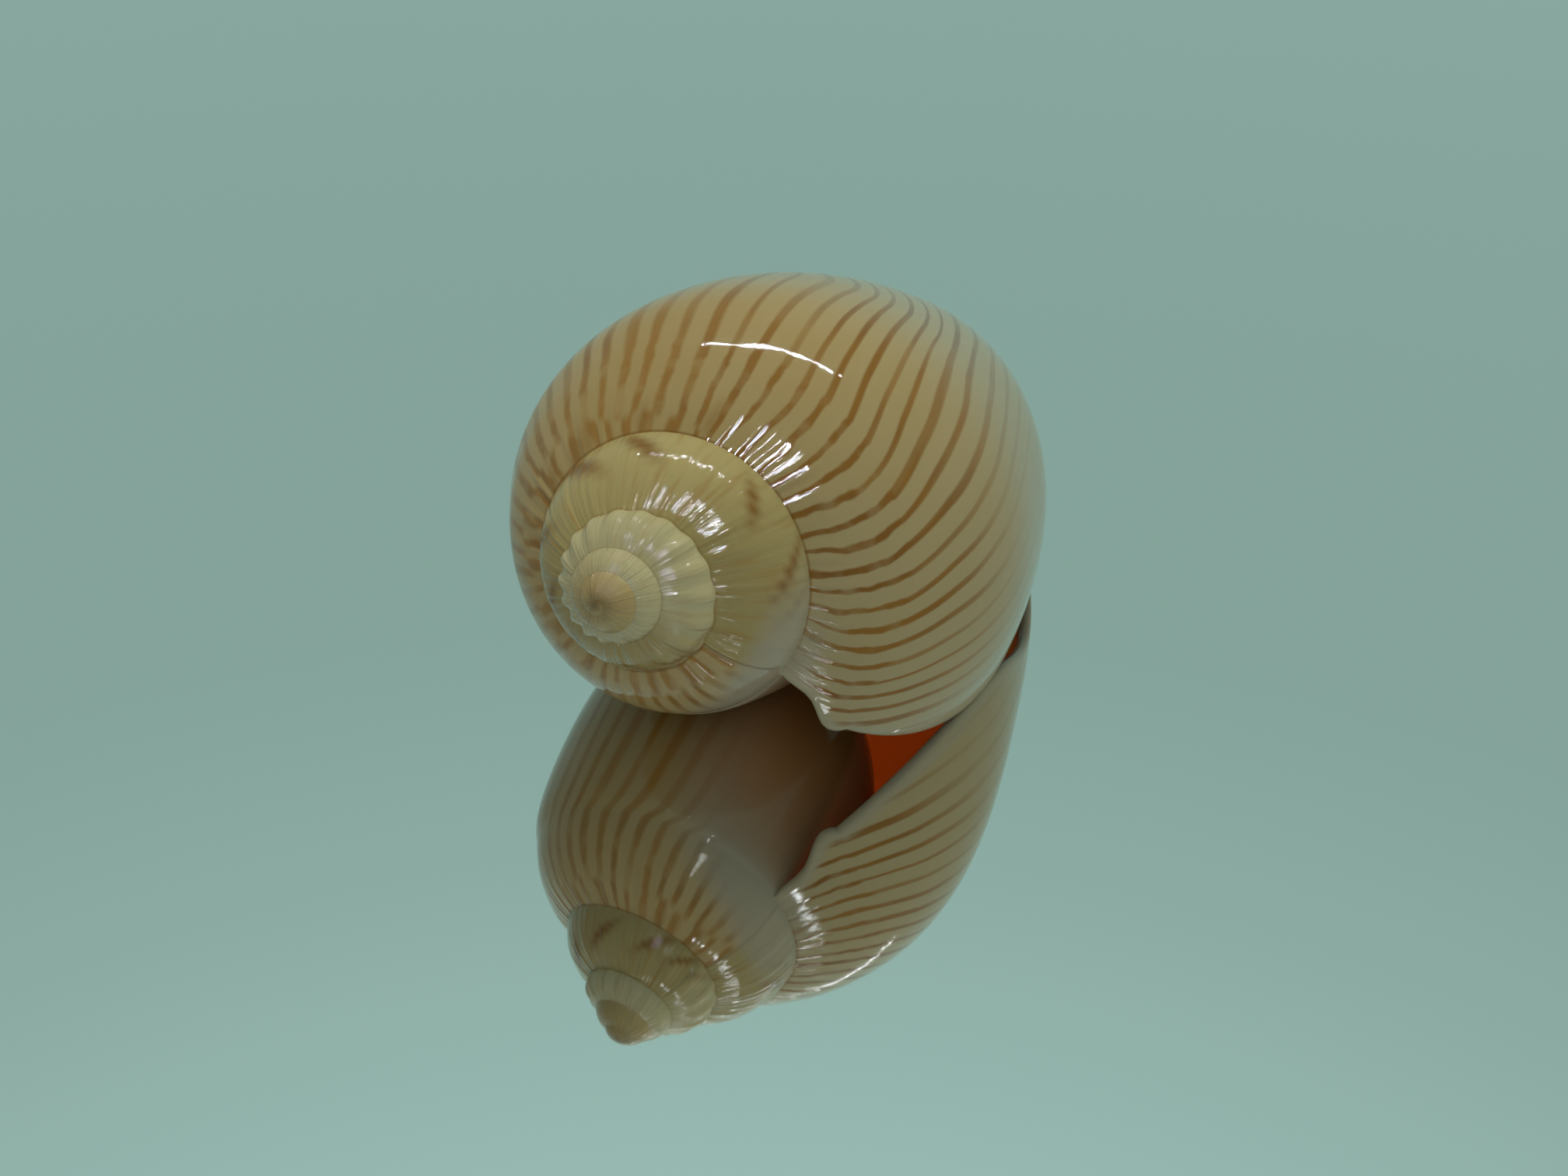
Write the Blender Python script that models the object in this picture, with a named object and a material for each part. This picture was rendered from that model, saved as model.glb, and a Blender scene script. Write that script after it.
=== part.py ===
"""Volute shell as one closed solid: spire, last whorl, wall, hollow aperture and columella.

Every surface point is found from two numbers.  t counts turns of growth and is zero where the
outer lip meets the whorl before it; v runs down the outline of a whorl, from its upper suture
at 0, past the place where the next whorl joins on at 1, to the front tip of the shell at 2.
"""
import math

import bmesh
import bpy
import numpy as np

MM = 0.001

# Driving dimensions of the shell, millimetres unless said otherwise
SHELL_LENGTH = 83.0
WALL = 1.35
LIP_WALL = 1.15
LIP_ANGLE = 36.5          # degrees below level at which the lip leaves the suture
AXIS_DIP = 13.87          # degrees the axis falls from the apex towards the front tip
AXIS_TURN = 0.88          # degrees the resting shell is rolled about its axis
REST_FLAT = 0.2           # depth worn off where the shell touches the table
FIRST_TURN = -5.5
HOLLOW_TURN = -0.9        # how far back the hollow is modelled
NOTCH_TURN = -0.40        # how far round the front notch reaches

# Suture line: turns, distance from the axis, distance from the apex along the axis
SUTURE_TURN = (-4.5, -3.75, -3.0, -2.0, -1.0, -0.5, 0.0)
SUTURE_RADIUS = (0.30, 1.25, 2.50, 3.70, 6.68, 9.20, 12.07)
SUTURE_DEPTH = (0.05, 0.62, 1.70, 3.45, 6.63, 9.34, 12.60)

# Outline below the joining place, as radius and depth: at the columella and at the outer lip
INNER_RADIUS = (12.7, 13.8, 8.9, 5.0, 3.3)
INNER_DEPTH = (15.0, 28.5, 39.2, 52.0, 71.0)
LIP_JOIN = (18.8, 16.9)
LIP_RADIUS = (25.1, 26.1, 22.3, 15.8, 9.0)
LIP_DEPTH = (29.5, 45.5, 57.0, 69.6, 79.0)
OPENING_RATE = (0.90, 0.70, 1.15, 1.75, 1.5)
INNER_LIMIT = (9.0, 1.2, 0.6, 0.35, 0.30)

# Course of the lip edge: place on the outline, turns ahead of the lip angle
LIP_PLACE = (0.0, 0.35, 1.0, 1.24, 1.45, 1.62, 1.76, 1.88, 1.95, 2.0)
LIP_AHEAD = (0.0, 0.003, 0.013, -0.016, -0.070, -0.052, -0.065, -0.14, -0.27, NOTCH_TURN)

BAND_BULGE = 0.13
LIP_BULGE = 0.06
KNOBS_PER_TURN = 18
KNOB_HEIGHT = 0.30
PLAIT_DEPTH = (49.0, 54.0, 59.0, 64.0)
PLAIT_HEIGHT = 0.75
PLAIT_WIDTH = 1.15
PLAIT_FALL = 9.0

STEPS_PER_TURN = 72
BAND_STEPS = 4
LOWER_STEPS = 12
FRONT_STEPS = 4
HOLLOW_STEPS = 44
MOUTH_STEPS = 8
FOLD_STEPS = 17
CORNER_PLACE = 1.10
BASE_PLACE = 1.90
FRONT_PLACE = 1.80
FOLD_PLACE = (1.45, 1.80)


def spline_basis(knots, places):
    """Weights of a natural cubic curve: one row per place, one column per knot."""
    x = np.asarray(knots, float)
    n = len(x)
    h = np.diff(x)
    left = np.eye(n)
    right = np.zeros((n, n))
    for i in range(1, n - 1):
        left[i, i - 1:i + 2] = (h[i - 1], 2.0 * (h[i - 1] + h[i]), h[i])
        right[i, i - 1] = 6.0 / h[i - 1]
        right[i, i] = -6.0 / h[i - 1] - 6.0 / h[i]
        right[i, i + 1] = 6.0 / h[i]
    bend = np.linalg.solve(left, right)
    p = np.atleast_1d(np.asarray(places, float))
    k = np.clip(np.searchsorted(x, p, side="right") - 1, 0, n - 2)
    a = (x[k + 1] - p) / h[k]
    b = (p - x[k]) / h[k]
    unit = np.eye(n)
    inside = (a[:, None] * unit[k] + b[:, None] * unit[k + 1]
              + ((a ** 3 - a) * h[k] ** 2 / 6.0)[:, None] * bend[k]
              + ((b ** 3 - b) * h[k] ** 2 / 6.0)[:, None] * bend[k + 1])
    return inside


def along(knots, values, places):
    """Smooth curve through values, read at an array of places of any shape."""
    p = np.asarray(places, float)
    return (spline_basis(knots, p.ravel()) @ np.asarray(values, float)).reshape(p.shape)


def ease(x, low, high):
    """Smooth step from 0 at low to 1 at high."""
    u = np.clip((np.asarray(x, float) - low) / (high - low), 0.0, 1.0)
    return u * u * (3.0 - 2.0 * u)


def knob_wave(t):
    """Height share of the knobs round the third whorl from the lip, 0 between them."""
    where = ease(t, -3.0, -2.75) * (1.0 - ease(t, -2.02, -1.86))
    return where * (0.5 + 0.5 * np.cos(2.0 * math.pi * KNOBS_PER_TURN * t))


def suture(t):
    """Radius and depth of the suture; it shrinks to the apex at the first knot."""
    t = np.asarray(t, float)
    inside = np.maximum(t, SUTURE_TURN[0])
    radius = np.exp(along(SUTURE_TURN, np.log(SUTURE_RADIUS), inside))
    depth = np.exp(along(SUTURE_TURN, np.log(SUTURE_DEPTH), inside))
    fade = ease(t, SUTURE_TURN[0], SUTURE_TURN[0] + 0.6)
    scallop = 0.5 * KNOB_HEIGHT * knob_wave(t - 1.0)
    return radius * fade + scallop, depth * fade


def opening(t, rate, limit):
    """Share of the way from the columella outline to the lip outline, at turn t."""
    tau = np.asarray(t, float) + 1.0
    ahead = 1.0 - np.maximum(1.0 - tau, 0.0) ** rate
    behind = -limit * (1.0 - np.exp(rate * np.minimum(tau, 0.0) / limit))
    over = np.where(tau > 1.0, (tau - 1.0) * min(rate, 1.0), 0.0)
    return np.where(tau >= 0.0, ahead, behind) + over


def blend(first, second, share):
    """Growth from one length to another, by equal ratios for equal shares."""
    return first * (second / first) ** share


def join_point(t):
    """Where the next whorl joins on: its suture, or the line that carries it on to the lip."""
    t = np.asarray(t, float)
    radius, depth = suture(np.minimum(t + 1.0, 0.0))
    share = opening(np.maximum(t, -1.0), 1.0, 1.0)
    late = t > -1.0
    radius = np.where(late, blend(SUTURE_RADIUS[-1], LIP_JOIN[0], share), radius)
    depth = np.where(late, blend(SUTURE_DEPTH[-1], LIP_JOIN[1], share), depth)
    return radius, depth


LOWER_KNOTS = np.linspace(1.0, 2.0, 7)


def outline(t, v):
    """Radius and depth of the outer surface at turns t and places v, both of one shape."""
    shape = np.broadcast(t, v).shape
    t = np.broadcast_to(np.asarray(t, float), shape).ravel()
    v = np.broadcast_to(np.asarray(v, float), shape).ravel()
    r0, d0 = suture(np.minimum(t, 0.0))
    grown = np.maximum(t, 0.0)
    r0 = r0 * (1.0 + 0.65 * grown)
    d0 = d0 * (1.0 + 0.40 * grown)
    r1, d1 = join_point(t)
    chord_r = r1 - r0
    chord_d = d1 - d0
    bulge = BAND_BULGE + (LIP_BULGE - BAND_BULGE) * ease(t, -1.0, -0.3)
    u = np.clip(v, 0.0, 1.0)
    rise = 4.0 * u * (1.0 - u) * bulge
    upper_r = r0 + chord_r * u + chord_d * rise
    upper_d = d0 + chord_d * u - chord_r * rise
    # The lower outline leaves the joining place in the direction the upper one reaches it
    end_r = chord_r - 4.0 * bulge * chord_d
    end_d = chord_d + 4.0 * bulge * chord_r
    points_r = [r1]
    points_d = [d1]
    for i in range(5):
        share = opening(t, OPENING_RATE[i], INNER_LIMIT[i])
        points_r.append(blend(INNER_RADIUS[i], LIP_RADIUS[i], share))
        points_d.append(blend(INNER_DEPTH[i], LIP_DEPTH[i], share))
    points_r.append(np.zeros_like(r1))
    points_d.append(np.full_like(r1, SHELL_LENGTH))
    gap = np.hypot(points_r[1] - r1, points_d[1] - d1)
    lead = 0.02
    back = lead * 6.0 * gap / np.maximum(np.hypot(end_r, end_d), 1e-9)
    points_r.insert(0, r1 - end_r * back)
    points_d.insert(0, d1 - end_d * back)
    w = spline_basis(np.concatenate([[1.0 - lead], LOWER_KNOTS]), np.clip(v, 1.0, 2.0))
    lower_r = (w * np.stack(points_r, 1)).sum(1)
    lower_d = (w * np.stack(points_d, 1)).sum(1)
    radius = np.where(v <= 1.0, upper_r, lower_r)
    depth = np.where(v <= 1.0, upper_d, lower_d)
    return (radius + relief(t, v, depth)).reshape(shape), depth.reshape(shape)


def relief(t, v, depth):
    """Knobs on the third whorl from the lip and folds on the columella, as added radius."""
    u = np.clip(v, 0.0, 1.0)
    knobs = KNOB_HEIGHT * knob_wave(t) * 4.0 * u ** 1.5 * (1.0 - u)
    folds = np.zeros_like(knobs)
    inside = 1.0 - ease(t, -1.10, -0.97)
    for centre in PLAIT_DEPTH:
        line = centre + PLAIT_FALL * (t + 1.0)
        folds = folds + np.exp(-((depth - line) / PLAIT_WIDTH) ** 2)
    return knobs + PLAIT_HEIGHT * folds * inside * np.where(v > 1.0, 1.0, 0.0)


def place(t, radius, depth):
    """Points in the shell's own frame: first to the lip side, second down, third to the front."""
    angle = 2.0 * math.pi * t + math.radians(LIP_ANGLE)
    return np.stack([radius * np.cos(angle), radius * np.sin(angle), depth], -1)


def skin(t, v):
    """Outer surface points at turns t and places v."""
    t, v = np.broadcast_arrays(np.asarray(t, float), np.asarray(v, float))
    radius, depth = outline(t, v)
    return place(t, radius, depth)


def skin_normal(t, v):
    """Unit outward direction of the outer surface, from small steps along t and v."""
    step = 1e-3
    v0 = np.clip(v, step, 2.0 - 0.02)
    along_t = skin(t + step, v0) - skin(t - step, v0)
    along_v = skin(t, v0 + step) - skin(t, v0 - step)
    normal = np.cross(along_v, along_t)
    normal /= np.maximum(np.linalg.norm(normal, axis=-1, keepdims=True), 1e-12)
    radial = place(t, np.ones_like(t), np.zeros_like(t))
    side = np.sign((normal * radial).sum(-1, keepdims=True))
    return normal * np.where(side == 0.0, 1.0, side)


def lip_curve(v):
    """Lip edge without overshoot: smooth steps between its knots."""
    k = np.clip(np.searchsorted(LIP_PLACE, v, side="right") - 1, 0, len(LIP_PLACE) - 2)
    x = np.asarray(LIP_PLACE)
    y = np.asarray(LIP_AHEAD)
    slope = np.gradient(y, x)
    slope[0] = 2.4 * (y[1] - y[0]) / (x[1] - x[0])
    h = x[k + 1] - x[k]
    s = (v - x[k]) / h
    return ((1 + 2 * s) * (1 - s) ** 2 * y[k] + s * (1 - s) ** 2 * h * slope[k]
            + s * s * (3 - 2 * s) * y[k + 1] + s * s * (s - 1) * h * slope[k + 1])


def hollow(t, v):
    """Inner face of the outer wall, drawn in to the whorl before it at both ends."""
    wall = WALL + (LIP_WALL - WALL) * ease(t, -0.15, 0.0)
    point = skin(t, v) - skin_normal(t, v) * wall[..., None]
    top = skin(t - 1.0, np.full_like(t, CORNER_PLACE))
    base = skin(t - 1.0, np.full_like(t, BASE_PLACE))
    upper = (1.0 - ease(v, 0.0, 0.45))[..., None]
    lower = ease(v, 1.72, 2.0)[..., None]
    return point * (1.0 - upper - lower) + top * upper + base * lower


def lower_places():
    """Places down the outer face from the join to the tip."""
    side = np.linspace(1.0, FRONT_PLACE, LOWER_STEPS + 1)
    return np.concatenate([side[:-1], np.linspace(FRONT_PLACE, 2.0, FRONT_STEPS + 1)])


def core_places():
    """Places down the columella: join, corner, close steps over the folds, base and tip."""
    above = np.linspace(CORNER_PLACE, FOLD_PLACE[0], 6)
    folds = np.linspace(FOLD_PLACE[0], FOLD_PLACE[1], FOLD_STEPS + 1)
    below = np.linspace(FOLD_PLACE[1], BASE_PLACE, 3)
    return np.concatenate([[1.0], above[:-1], folds[:-1], below, [0.5 * (BASE_PLACE + 2.0), 2.0]])


class Mesh:
    """Collects grids of points and the faces between them."""

    def __init__(self):
        self.points = []
        self.faces = []
        self.count = 0

    def add(self, grid):
        """Add a grid of points and its four-sided faces; return the index of each point."""
        rows, cols = grid.shape[:2]
        index = np.arange(rows * cols).reshape(rows, cols) + self.count
        self.points.append(grid.reshape(-1, 3))
        self.count += rows * cols
        quads = np.stack([index[:-1, :-1], index[:-1, 1:], index[1:, 1:], index[1:, :-1]], -1)
        self.faces.extend(quads.reshape(-1, 4).tolist())
        return index

    def bridge(self, first, second, first_at, second_at):
        """Close the space between two lines of points with triangles, matched by their places."""
        i = 0
        j = 0
        while i < len(first) - 1 or j < len(second) - 1:
            ahead_i = first_at[i + 1] if i < len(first) - 1 else 9.0
            ahead_j = second_at[j + 1] if j < len(second) - 1 else 9.0
            if ahead_i <= ahead_j:
                self.faces.append([int(first[i]), int(first[i + 1]), int(second[j])])
                i += 1
            else:
                self.faces.append([int(first[i]), int(second[j + 1]), int(second[j])])
                j += 1


def build_surface():
    """All grids of the shell, in the shell's own frame in millimetres."""
    mesh = Mesh()
    band = np.linspace(0.0, 1.0, BAND_STEPS + 1)
    whole = np.concatenate([band, lower_places()[1:]])
    down = core_places()
    turns = np.linspace(FIRST_TURN, -1.0, int(round((-1.0 - FIRST_TURN) * STEPS_PER_TURN)) + 1)
    mesh.add(skin(turns[:, None], band[None, :]))

    # The last whorl: its first line is stepped as closely as the columella it runs on into
    start_places = np.concatenate([band, down[1:]])
    start = mesh.add(skin(-1.0, start_places)[None])[0]
    share = np.linspace(0.0, 1.0, STEPS_PER_TURN + 1)[1:, None]
    ahead = lip_curve(whole)[None, :]
    last_turn = -1.0 + share * (1.0 + ahead)
    last = mesh.add(skin(last_turn, np.broadcast_to(whole, last_turn.shape)))
    mesh.bridge(start, last[0], start_places, whole)

    depth_share = np.linspace(0.0, 1.0, HOLLOW_STEPS + 1)[:, None]
    inner_turn = HOLLOW_TURN + depth_share * (ahead - HOLLOW_TURN)
    inner = mesh.add(hollow(inner_turn, np.broadcast_to(whole, inner_turn.shape)))
    wall_places = down[1:-2]
    slant = NOTCH_TURN * (wall_places - CORNER_PLACE) / (BASE_PLACE - CORNER_PLACE)
    core_turn = -1.0 + HOLLOW_TURN + depth_share * (slant[None, :] - HOLLOW_TURN)
    core = mesh.add(skin(core_turn, np.broadcast_to(wall_places, core_turn.shape)))
    mouth_places = down[1:]
    mouth_slant = np.concatenate([slant, [NOTCH_TURN, NOTCH_TURN]])
    mouth_share = np.linspace(0.0, 1.0, MOUTH_STEPS + 1)[:, None]
    mouth_turn = -1.0 + mouth_slant[None, :] * (1.0 - mouth_share)
    mouth = mesh.add(skin(mouth_turn, np.broadcast_to(mouth_places, mouth_turn.shape)))
    mesh.bridge(inner[0], core[0], whole, 2.0 * slant / NOTCH_TURN)

    # The rim joins the lip of the outer face to the lip of the inner face, from suture to tip
    outer_edge = last[-1]
    inner_edge = inner[-1]
    for k in range(len(whole) - 2):
        corners = [outer_edge[k], outer_edge[k + 1], inner_edge[k + 1], inner_edge[k]]
        mesh.faces.append([int(i) for i in corners])
    end = [outer_edge[-2], mouth[0, -1], mouth[0, -2], mouth[0, -3], inner_edge[-2]]
    mesh.faces.append([int(i) for i in end])
    return mesh


def to_table(points):
    """From the shell's own frame in millimetres to the resting pose: front +Y, lip +X, up +Z."""
    dip = math.radians(AXIS_DIP)
    roll = math.radians(AXIS_TURN)
    side = points[:, 0] * math.cos(roll) - points[:, 1] * math.sin(roll)
    down = points[:, 0] * math.sin(roll) + points[:, 1] * math.cos(roll)
    front = points[:, 2]
    y = front * math.cos(dip) - down * math.sin(dip)
    z = -front * math.sin(dip) - down * math.cos(dip)
    return np.stack([side, y, z], 1)


def clear_scene():
    """Start from an empty file."""
    for thing in list(bpy.data.objects):
        bpy.data.objects.remove(thing, do_unlink=True)


def shell_material():
    """Glossy cream shell, seen in the plain CAD."""
    material = bpy.data.materials.new("shell")
    material.use_nodes = True
    shader = material.node_tree.nodes["Principled BSDF"]
    shader.inputs["Base Color"].default_value = (0.78, 0.70, 0.54, 1.0)
    shader.inputs["Roughness"].default_value = 0.22
    return material


def cut_flat(body, height):
    """Wear off everything below a height and close the cuts with level faces."""
    geometry = list(body.verts) + list(body.edges) + list(body.faces)
    cut = bmesh.ops.bisect_plane(body, geom=geometry, dist=1e-7, plane_co=(0.0, 0.0, height),
                                 plane_no=(0.0, 0.0, -1.0), clear_outer=True)
    edges = [e for e in cut["geom_cut"] if isinstance(e, bmesh.types.BMEdge)]
    bmesh.ops.holes_fill(body, edges=edges, sides=0)


def build_shell():
    """The shell as one object at its resting place, origin under the middle of its box."""
    surface = build_surface()
    points = to_table(np.concatenate(surface.points)) * MM
    mesh = bpy.data.meshes.new("shell")
    mesh.from_pydata(points.tolist(), [], surface.faces)
    body = bmesh.new()
    body.from_mesh(mesh)
    bmesh.ops.remove_doubles(body, verts=list(body.verts), dist=2e-6)
    bmesh.ops.dissolve_degenerate(body, edges=list(body.edges), dist=1e-6)
    bmesh.ops.recalc_face_normals(body, faces=list(body.faces))
    lowest = min(v.co.z for v in body.verts)
    cut_flat(body, lowest + REST_FLAT * MM)
    bmesh.ops.triangulate(body, faces=list(body.faces))
    bmesh.ops.recalc_face_normals(body, faces=list(body.faces))
    low = [min(v.co[i] for v in body.verts) for i in range(3)]
    high = [max(v.co[i] for v in body.verts) for i in range(3)]
    middle = (-(low[0] + high[0]) / 2.0, -(low[1] + high[1]) / 2.0, -low[2])
    bmesh.ops.translate(body, verts=list(body.verts), vec=middle)
    body.to_mesh(mesh)
    body.free()
    mesh.materials.append(shell_material())
    shell = bpy.data.objects.new("shell", mesh)
    bpy.context.scene.collection.objects.link(shell)
    return shell


clear_scene()
build_shell()
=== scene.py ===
"""Volute shell, dressed for the studio: banded outer skin, glazed mouth, floor, lamps and camera.

Every surface point is found from two numbers.  The turn t counts turns of growth and is zero at
the outer lip; the place v runs down the outline of a whorl, from its upper suture at 0, past the
joining place of the next whorl at 1, to the front tip of the shell at 2.  The same numbers drive
the shape, the stripes and the glaze, so the pattern grows with the shell.
"""

import logging
import math
from dataclasses import dataclass, field
from enum import Enum

import bmesh
import bpy
import numpy as np
from mathutils import Matrix, Vector


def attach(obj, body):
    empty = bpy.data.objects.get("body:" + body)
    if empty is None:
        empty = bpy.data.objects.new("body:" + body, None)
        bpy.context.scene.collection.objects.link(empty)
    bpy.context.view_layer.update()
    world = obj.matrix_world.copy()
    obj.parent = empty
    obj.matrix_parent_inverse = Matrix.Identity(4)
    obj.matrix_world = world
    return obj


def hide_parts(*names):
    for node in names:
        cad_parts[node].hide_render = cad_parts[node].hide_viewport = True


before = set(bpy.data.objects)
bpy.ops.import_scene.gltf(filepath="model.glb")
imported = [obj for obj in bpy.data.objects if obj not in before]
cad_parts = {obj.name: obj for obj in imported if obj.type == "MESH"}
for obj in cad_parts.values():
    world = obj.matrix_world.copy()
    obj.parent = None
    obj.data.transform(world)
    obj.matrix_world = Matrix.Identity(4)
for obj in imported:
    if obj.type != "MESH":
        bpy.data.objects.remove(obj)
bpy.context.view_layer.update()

LOG = logging.getLogger("volute_shell")
MM = 0.001

Array = np.ndarray
Colour = tuple[float, float, float]
Socket = bpy.types.NodeSocket

# Turns between which the colours of the upper whorls give way to those of the last whorl.
BODY_TURNS = (-1.03, -0.96)


class Face(Enum):
    """Which side of the shell a patch of surface belongs to, as its material index."""

    SKIN = 0
    LINING = 1


def ease(x: Array | float, low: float, high: float) -> Array:
    """Smooth step: 0 up to low, 1 from high on, 3u^2 - 2u^3 between.

    Args:
        x: values to read the step at.
        low: where the step starts.
        high: where the step ends.

    Returns:
        The step, of x's shape.
    """
    u = np.clip((np.asarray(x, float) - low) / (high - low), 0.0, 1.0)
    return u * u * (3.0 - 2.0 * u)


def bell(x: Array, centre: float, width: float) -> Array:
    """Gaussian bump: exp of minus the squared distance from centre in widths.

    Args:
        x: values to read the bump at.
        centre: where the bump is highest.
        width: distance at which it falls to 1/e.

    Returns:
        The bump's height, 0 to 1.
    """
    return np.exp(-(((x - centre) / width) ** 2))


def spline_weights(knots: Array, places: Array) -> Array:
    """Natural cubic curve as weights: value = weights @ knot values, bend zero at both ends.

    Args:
        knots: rising places of the knots.
        places: places to read the curve at, one dimension.

    Returns:
        One row of weights per place, one column per knot.
    """
    x = np.asarray(knots, float)
    n = len(x)
    h = np.diff(x)
    left = np.eye(n)
    right = np.zeros((n, n))
    rows = np.arange(1, n - 1)
    left[rows, rows - 1] = h[:-1]
    left[rows, rows] = 2.0 * (h[:-1] + h[1:])
    left[rows, rows + 1] = h[1:]
    right[rows, rows - 1] = 6.0 / h[:-1]
    right[rows, rows] = -6.0 / h[:-1] - 6.0 / h[1:]
    right[rows, rows + 1] = 6.0 / h[1:]
    bend = np.linalg.solve(left, right)
    p = np.atleast_1d(np.asarray(places, float))
    k = np.clip(np.searchsorted(x, p, side="right") - 1, 0, n - 2)
    a = ((x[k + 1] - p) / h[k])[:, None]
    b = ((p - x[k]) / h[k])[:, None]
    square = (h[k] ** 2 / 6.0)[:, None]
    unit = np.eye(n)
    straight = a * unit[k] + b * unit[k + 1]
    return straight + (a**3 - a) * square * bend[k] + (b**3 - b) * square * bend[k + 1]


def read_spline(knots: tuple[float, ...], values: Array | tuple[float, ...], places: Array) -> Array:
    """Natural cubic curve through values at knots, read at places of any shape."""
    p = np.asarray(places, float)
    return (spline_weights(np.asarray(knots), p.ravel()) @ np.asarray(values, float)).reshape(p.shape)


def read_steps(knots: tuple[float, ...], values: tuple[float, ...], places: Array) -> Array:
    """Curve through values without overshoot: smooth step from each knot to the next.

    Args:
        knots: rising places of the knots.
        values: value at each knot.
        places: places to read the curve at.

    Returns:
        The values, of places' shape.
    """
    x = np.asarray(knots)
    y = np.asarray(values)
    k = np.clip(np.searchsorted(x, places, side="right") - 1, 0, len(x) - 2)
    u = np.clip((places - x[k]) / (x[k + 1] - x[k]), 0.0, 1.0)
    return y[k] + (y[k + 1] - y[k]) * u * u * (3.0 - 2.0 * u)


@dataclass
class GrowthForm:
    """The shell's form in millimetres: sutures, outlines of a whorl, knobs, folds and lip edge."""

    length: float = 83.0
    wall: float = 1.35
    lip_wall: float = 1.15
    lip_angle: float = 36.5
    first_turn: float = -5.5
    apex_point: float = 0.16
    apex_fade: float = 0.6
    hollow_turn: float = -0.9
    notch_turn: float = -0.40
    corner: float = 1.10
    base: float = 1.90
    suture_turn: tuple[float, ...] = (-4.5, -3.75, -3.0, -2.0, -1.0, -0.5, 0.0)
    suture_radius: tuple[float, ...] = (0.30, 1.25, 2.50, 3.70, 6.68, 9.20, 12.07)
    suture_depth: tuple[float, ...] = (0.05, 0.62, 1.70, 3.45, 6.63, 9.34, 12.60)
    inner_radius: tuple[float, ...] = (12.7, 13.8, 8.9, 5.0, 3.3)
    inner_depth: tuple[float, ...] = (15.0, 28.5, 39.2, 52.0, 71.0)
    lip_join: tuple[float, float] = (18.8, 16.9)
    lip_radius: tuple[float, ...] = (25.1, 26.1, 22.3, 15.8, 9.0)
    lip_depth: tuple[float, ...] = (29.5, 45.5, 57.0, 69.6, 79.0)
    past_lip: tuple[float, float] = (0.65, 0.40)
    opening_rate: tuple[float, ...] = (0.90, 0.70, 1.15, 1.75, 1.5)
    inner_limit: tuple[float, ...] = (9.0, 1.2, 0.6, 0.35, 0.30)
    lip_place: tuple[float, ...] = (0.0, 0.35, 1.0, 1.24, 1.45, 1.62, 1.76, 1.88, 1.95, 2.0)
    lip_ahead: tuple[float, ...] = (0.0, 0.003, 0.013, -0.016, -0.070, -0.052, -0.065, -0.14, -0.27, -0.40)
    lip_start_slope: float = 2.4
    thinning_turn: float = -0.15
    top_reach: float = 0.45
    base_reach: float = 1.72
    band_bulge: float = 0.13
    lip_bulge: float = 0.06
    knobs: int = 18
    knob_height: float = 0.30
    knobs_rise: tuple[float, float] = (-3.0, -2.75)
    knobs_fall: tuple[float, float] = (-2.02, -1.86)
    fold_depth: tuple[float, ...] = (49.0, 54.0, 59.0, 64.0)
    fold_height: float = 0.75
    fold_width: float = 1.15
    fold_fall: float = 9.0
    folds_end: tuple[float, float] = (-1.10, -0.97)

    def knob_wave(self, t: Array) -> Array:
        """Height share of the knobs: half a cosine wave, faded in and out along the third whorl."""
        where = ease(t, *self.knobs_rise) * (1.0 - ease(t, *self.knobs_fall))
        return where * (0.5 + 0.5 * np.cos(2.0 * math.pi * self.knobs * t))

    def suture(self, t: Array) -> tuple[Array, Array]:
        """Suture line: exponentials of cubic curves through the knots, shrinking to the apex.

        Args:
            t: turns of growth.

        Returns:
            Distance from the axis and distance from the apex along it.
        """
        inside = np.maximum(t, self.suture_turn[0])
        radius = np.exp(read_spline(self.suture_turn, np.log(self.suture_radius), inside))
        depth = np.exp(read_spline(self.suture_turn, np.log(self.suture_depth), inside))
        fade = ease(t, self.suture_turn[0], self.suture_turn[0] + self.apex_fade)
        return radius * fade + 0.5 * self.knob_height * self.knob_wave(t - 1.0), depth * fade

    @staticmethod
    def opening(t: Array, rate: float, limit: float) -> Array:
        """Share of the way from columella to lip: 1 - (1 - tau)^rate ahead of the columella line,
        and levelling off at minus limit behind it, where tau = t + 1.

        Args:
            t: turns of growth.
            rate: how fast the whorl opens.
            limit: how far back it can get.

        Returns:
            The share.
        """
        tau = t + 1.0
        ahead = 1.0 - np.maximum(1.0 - tau, 0.0) ** rate
        behind = -limit * (1.0 - np.exp(rate * np.minimum(tau, 0.0) / limit))
        over = np.where(tau > 1.0, (tau - 1.0) * min(rate, 1.0), 0.0)
        return np.where(tau >= 0.0, ahead, behind) + over

    def join(self, t: Array) -> tuple[Array, Array]:
        """Radius and depth of the line along which the next whorl joins on, carried on to the lip.

        Args:
            t: turns of growth.

        Returns:
            Radius and depth in millimetres.
        """
        radius, depth = self.suture(np.minimum(t + 1.0, 0.0))
        share = self.opening(np.maximum(t, -1.0), 1.0, 1.0)
        late = t > -1.0
        grown_r = self.suture_radius[-1] * (self.lip_join[0] / self.suture_radius[-1]) ** share
        grown_d = self.suture_depth[-1] * (self.lip_join[1] / self.suture_depth[-1]) ** share
        return np.where(late, grown_r, radius), np.where(late, grown_d, depth)

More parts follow.
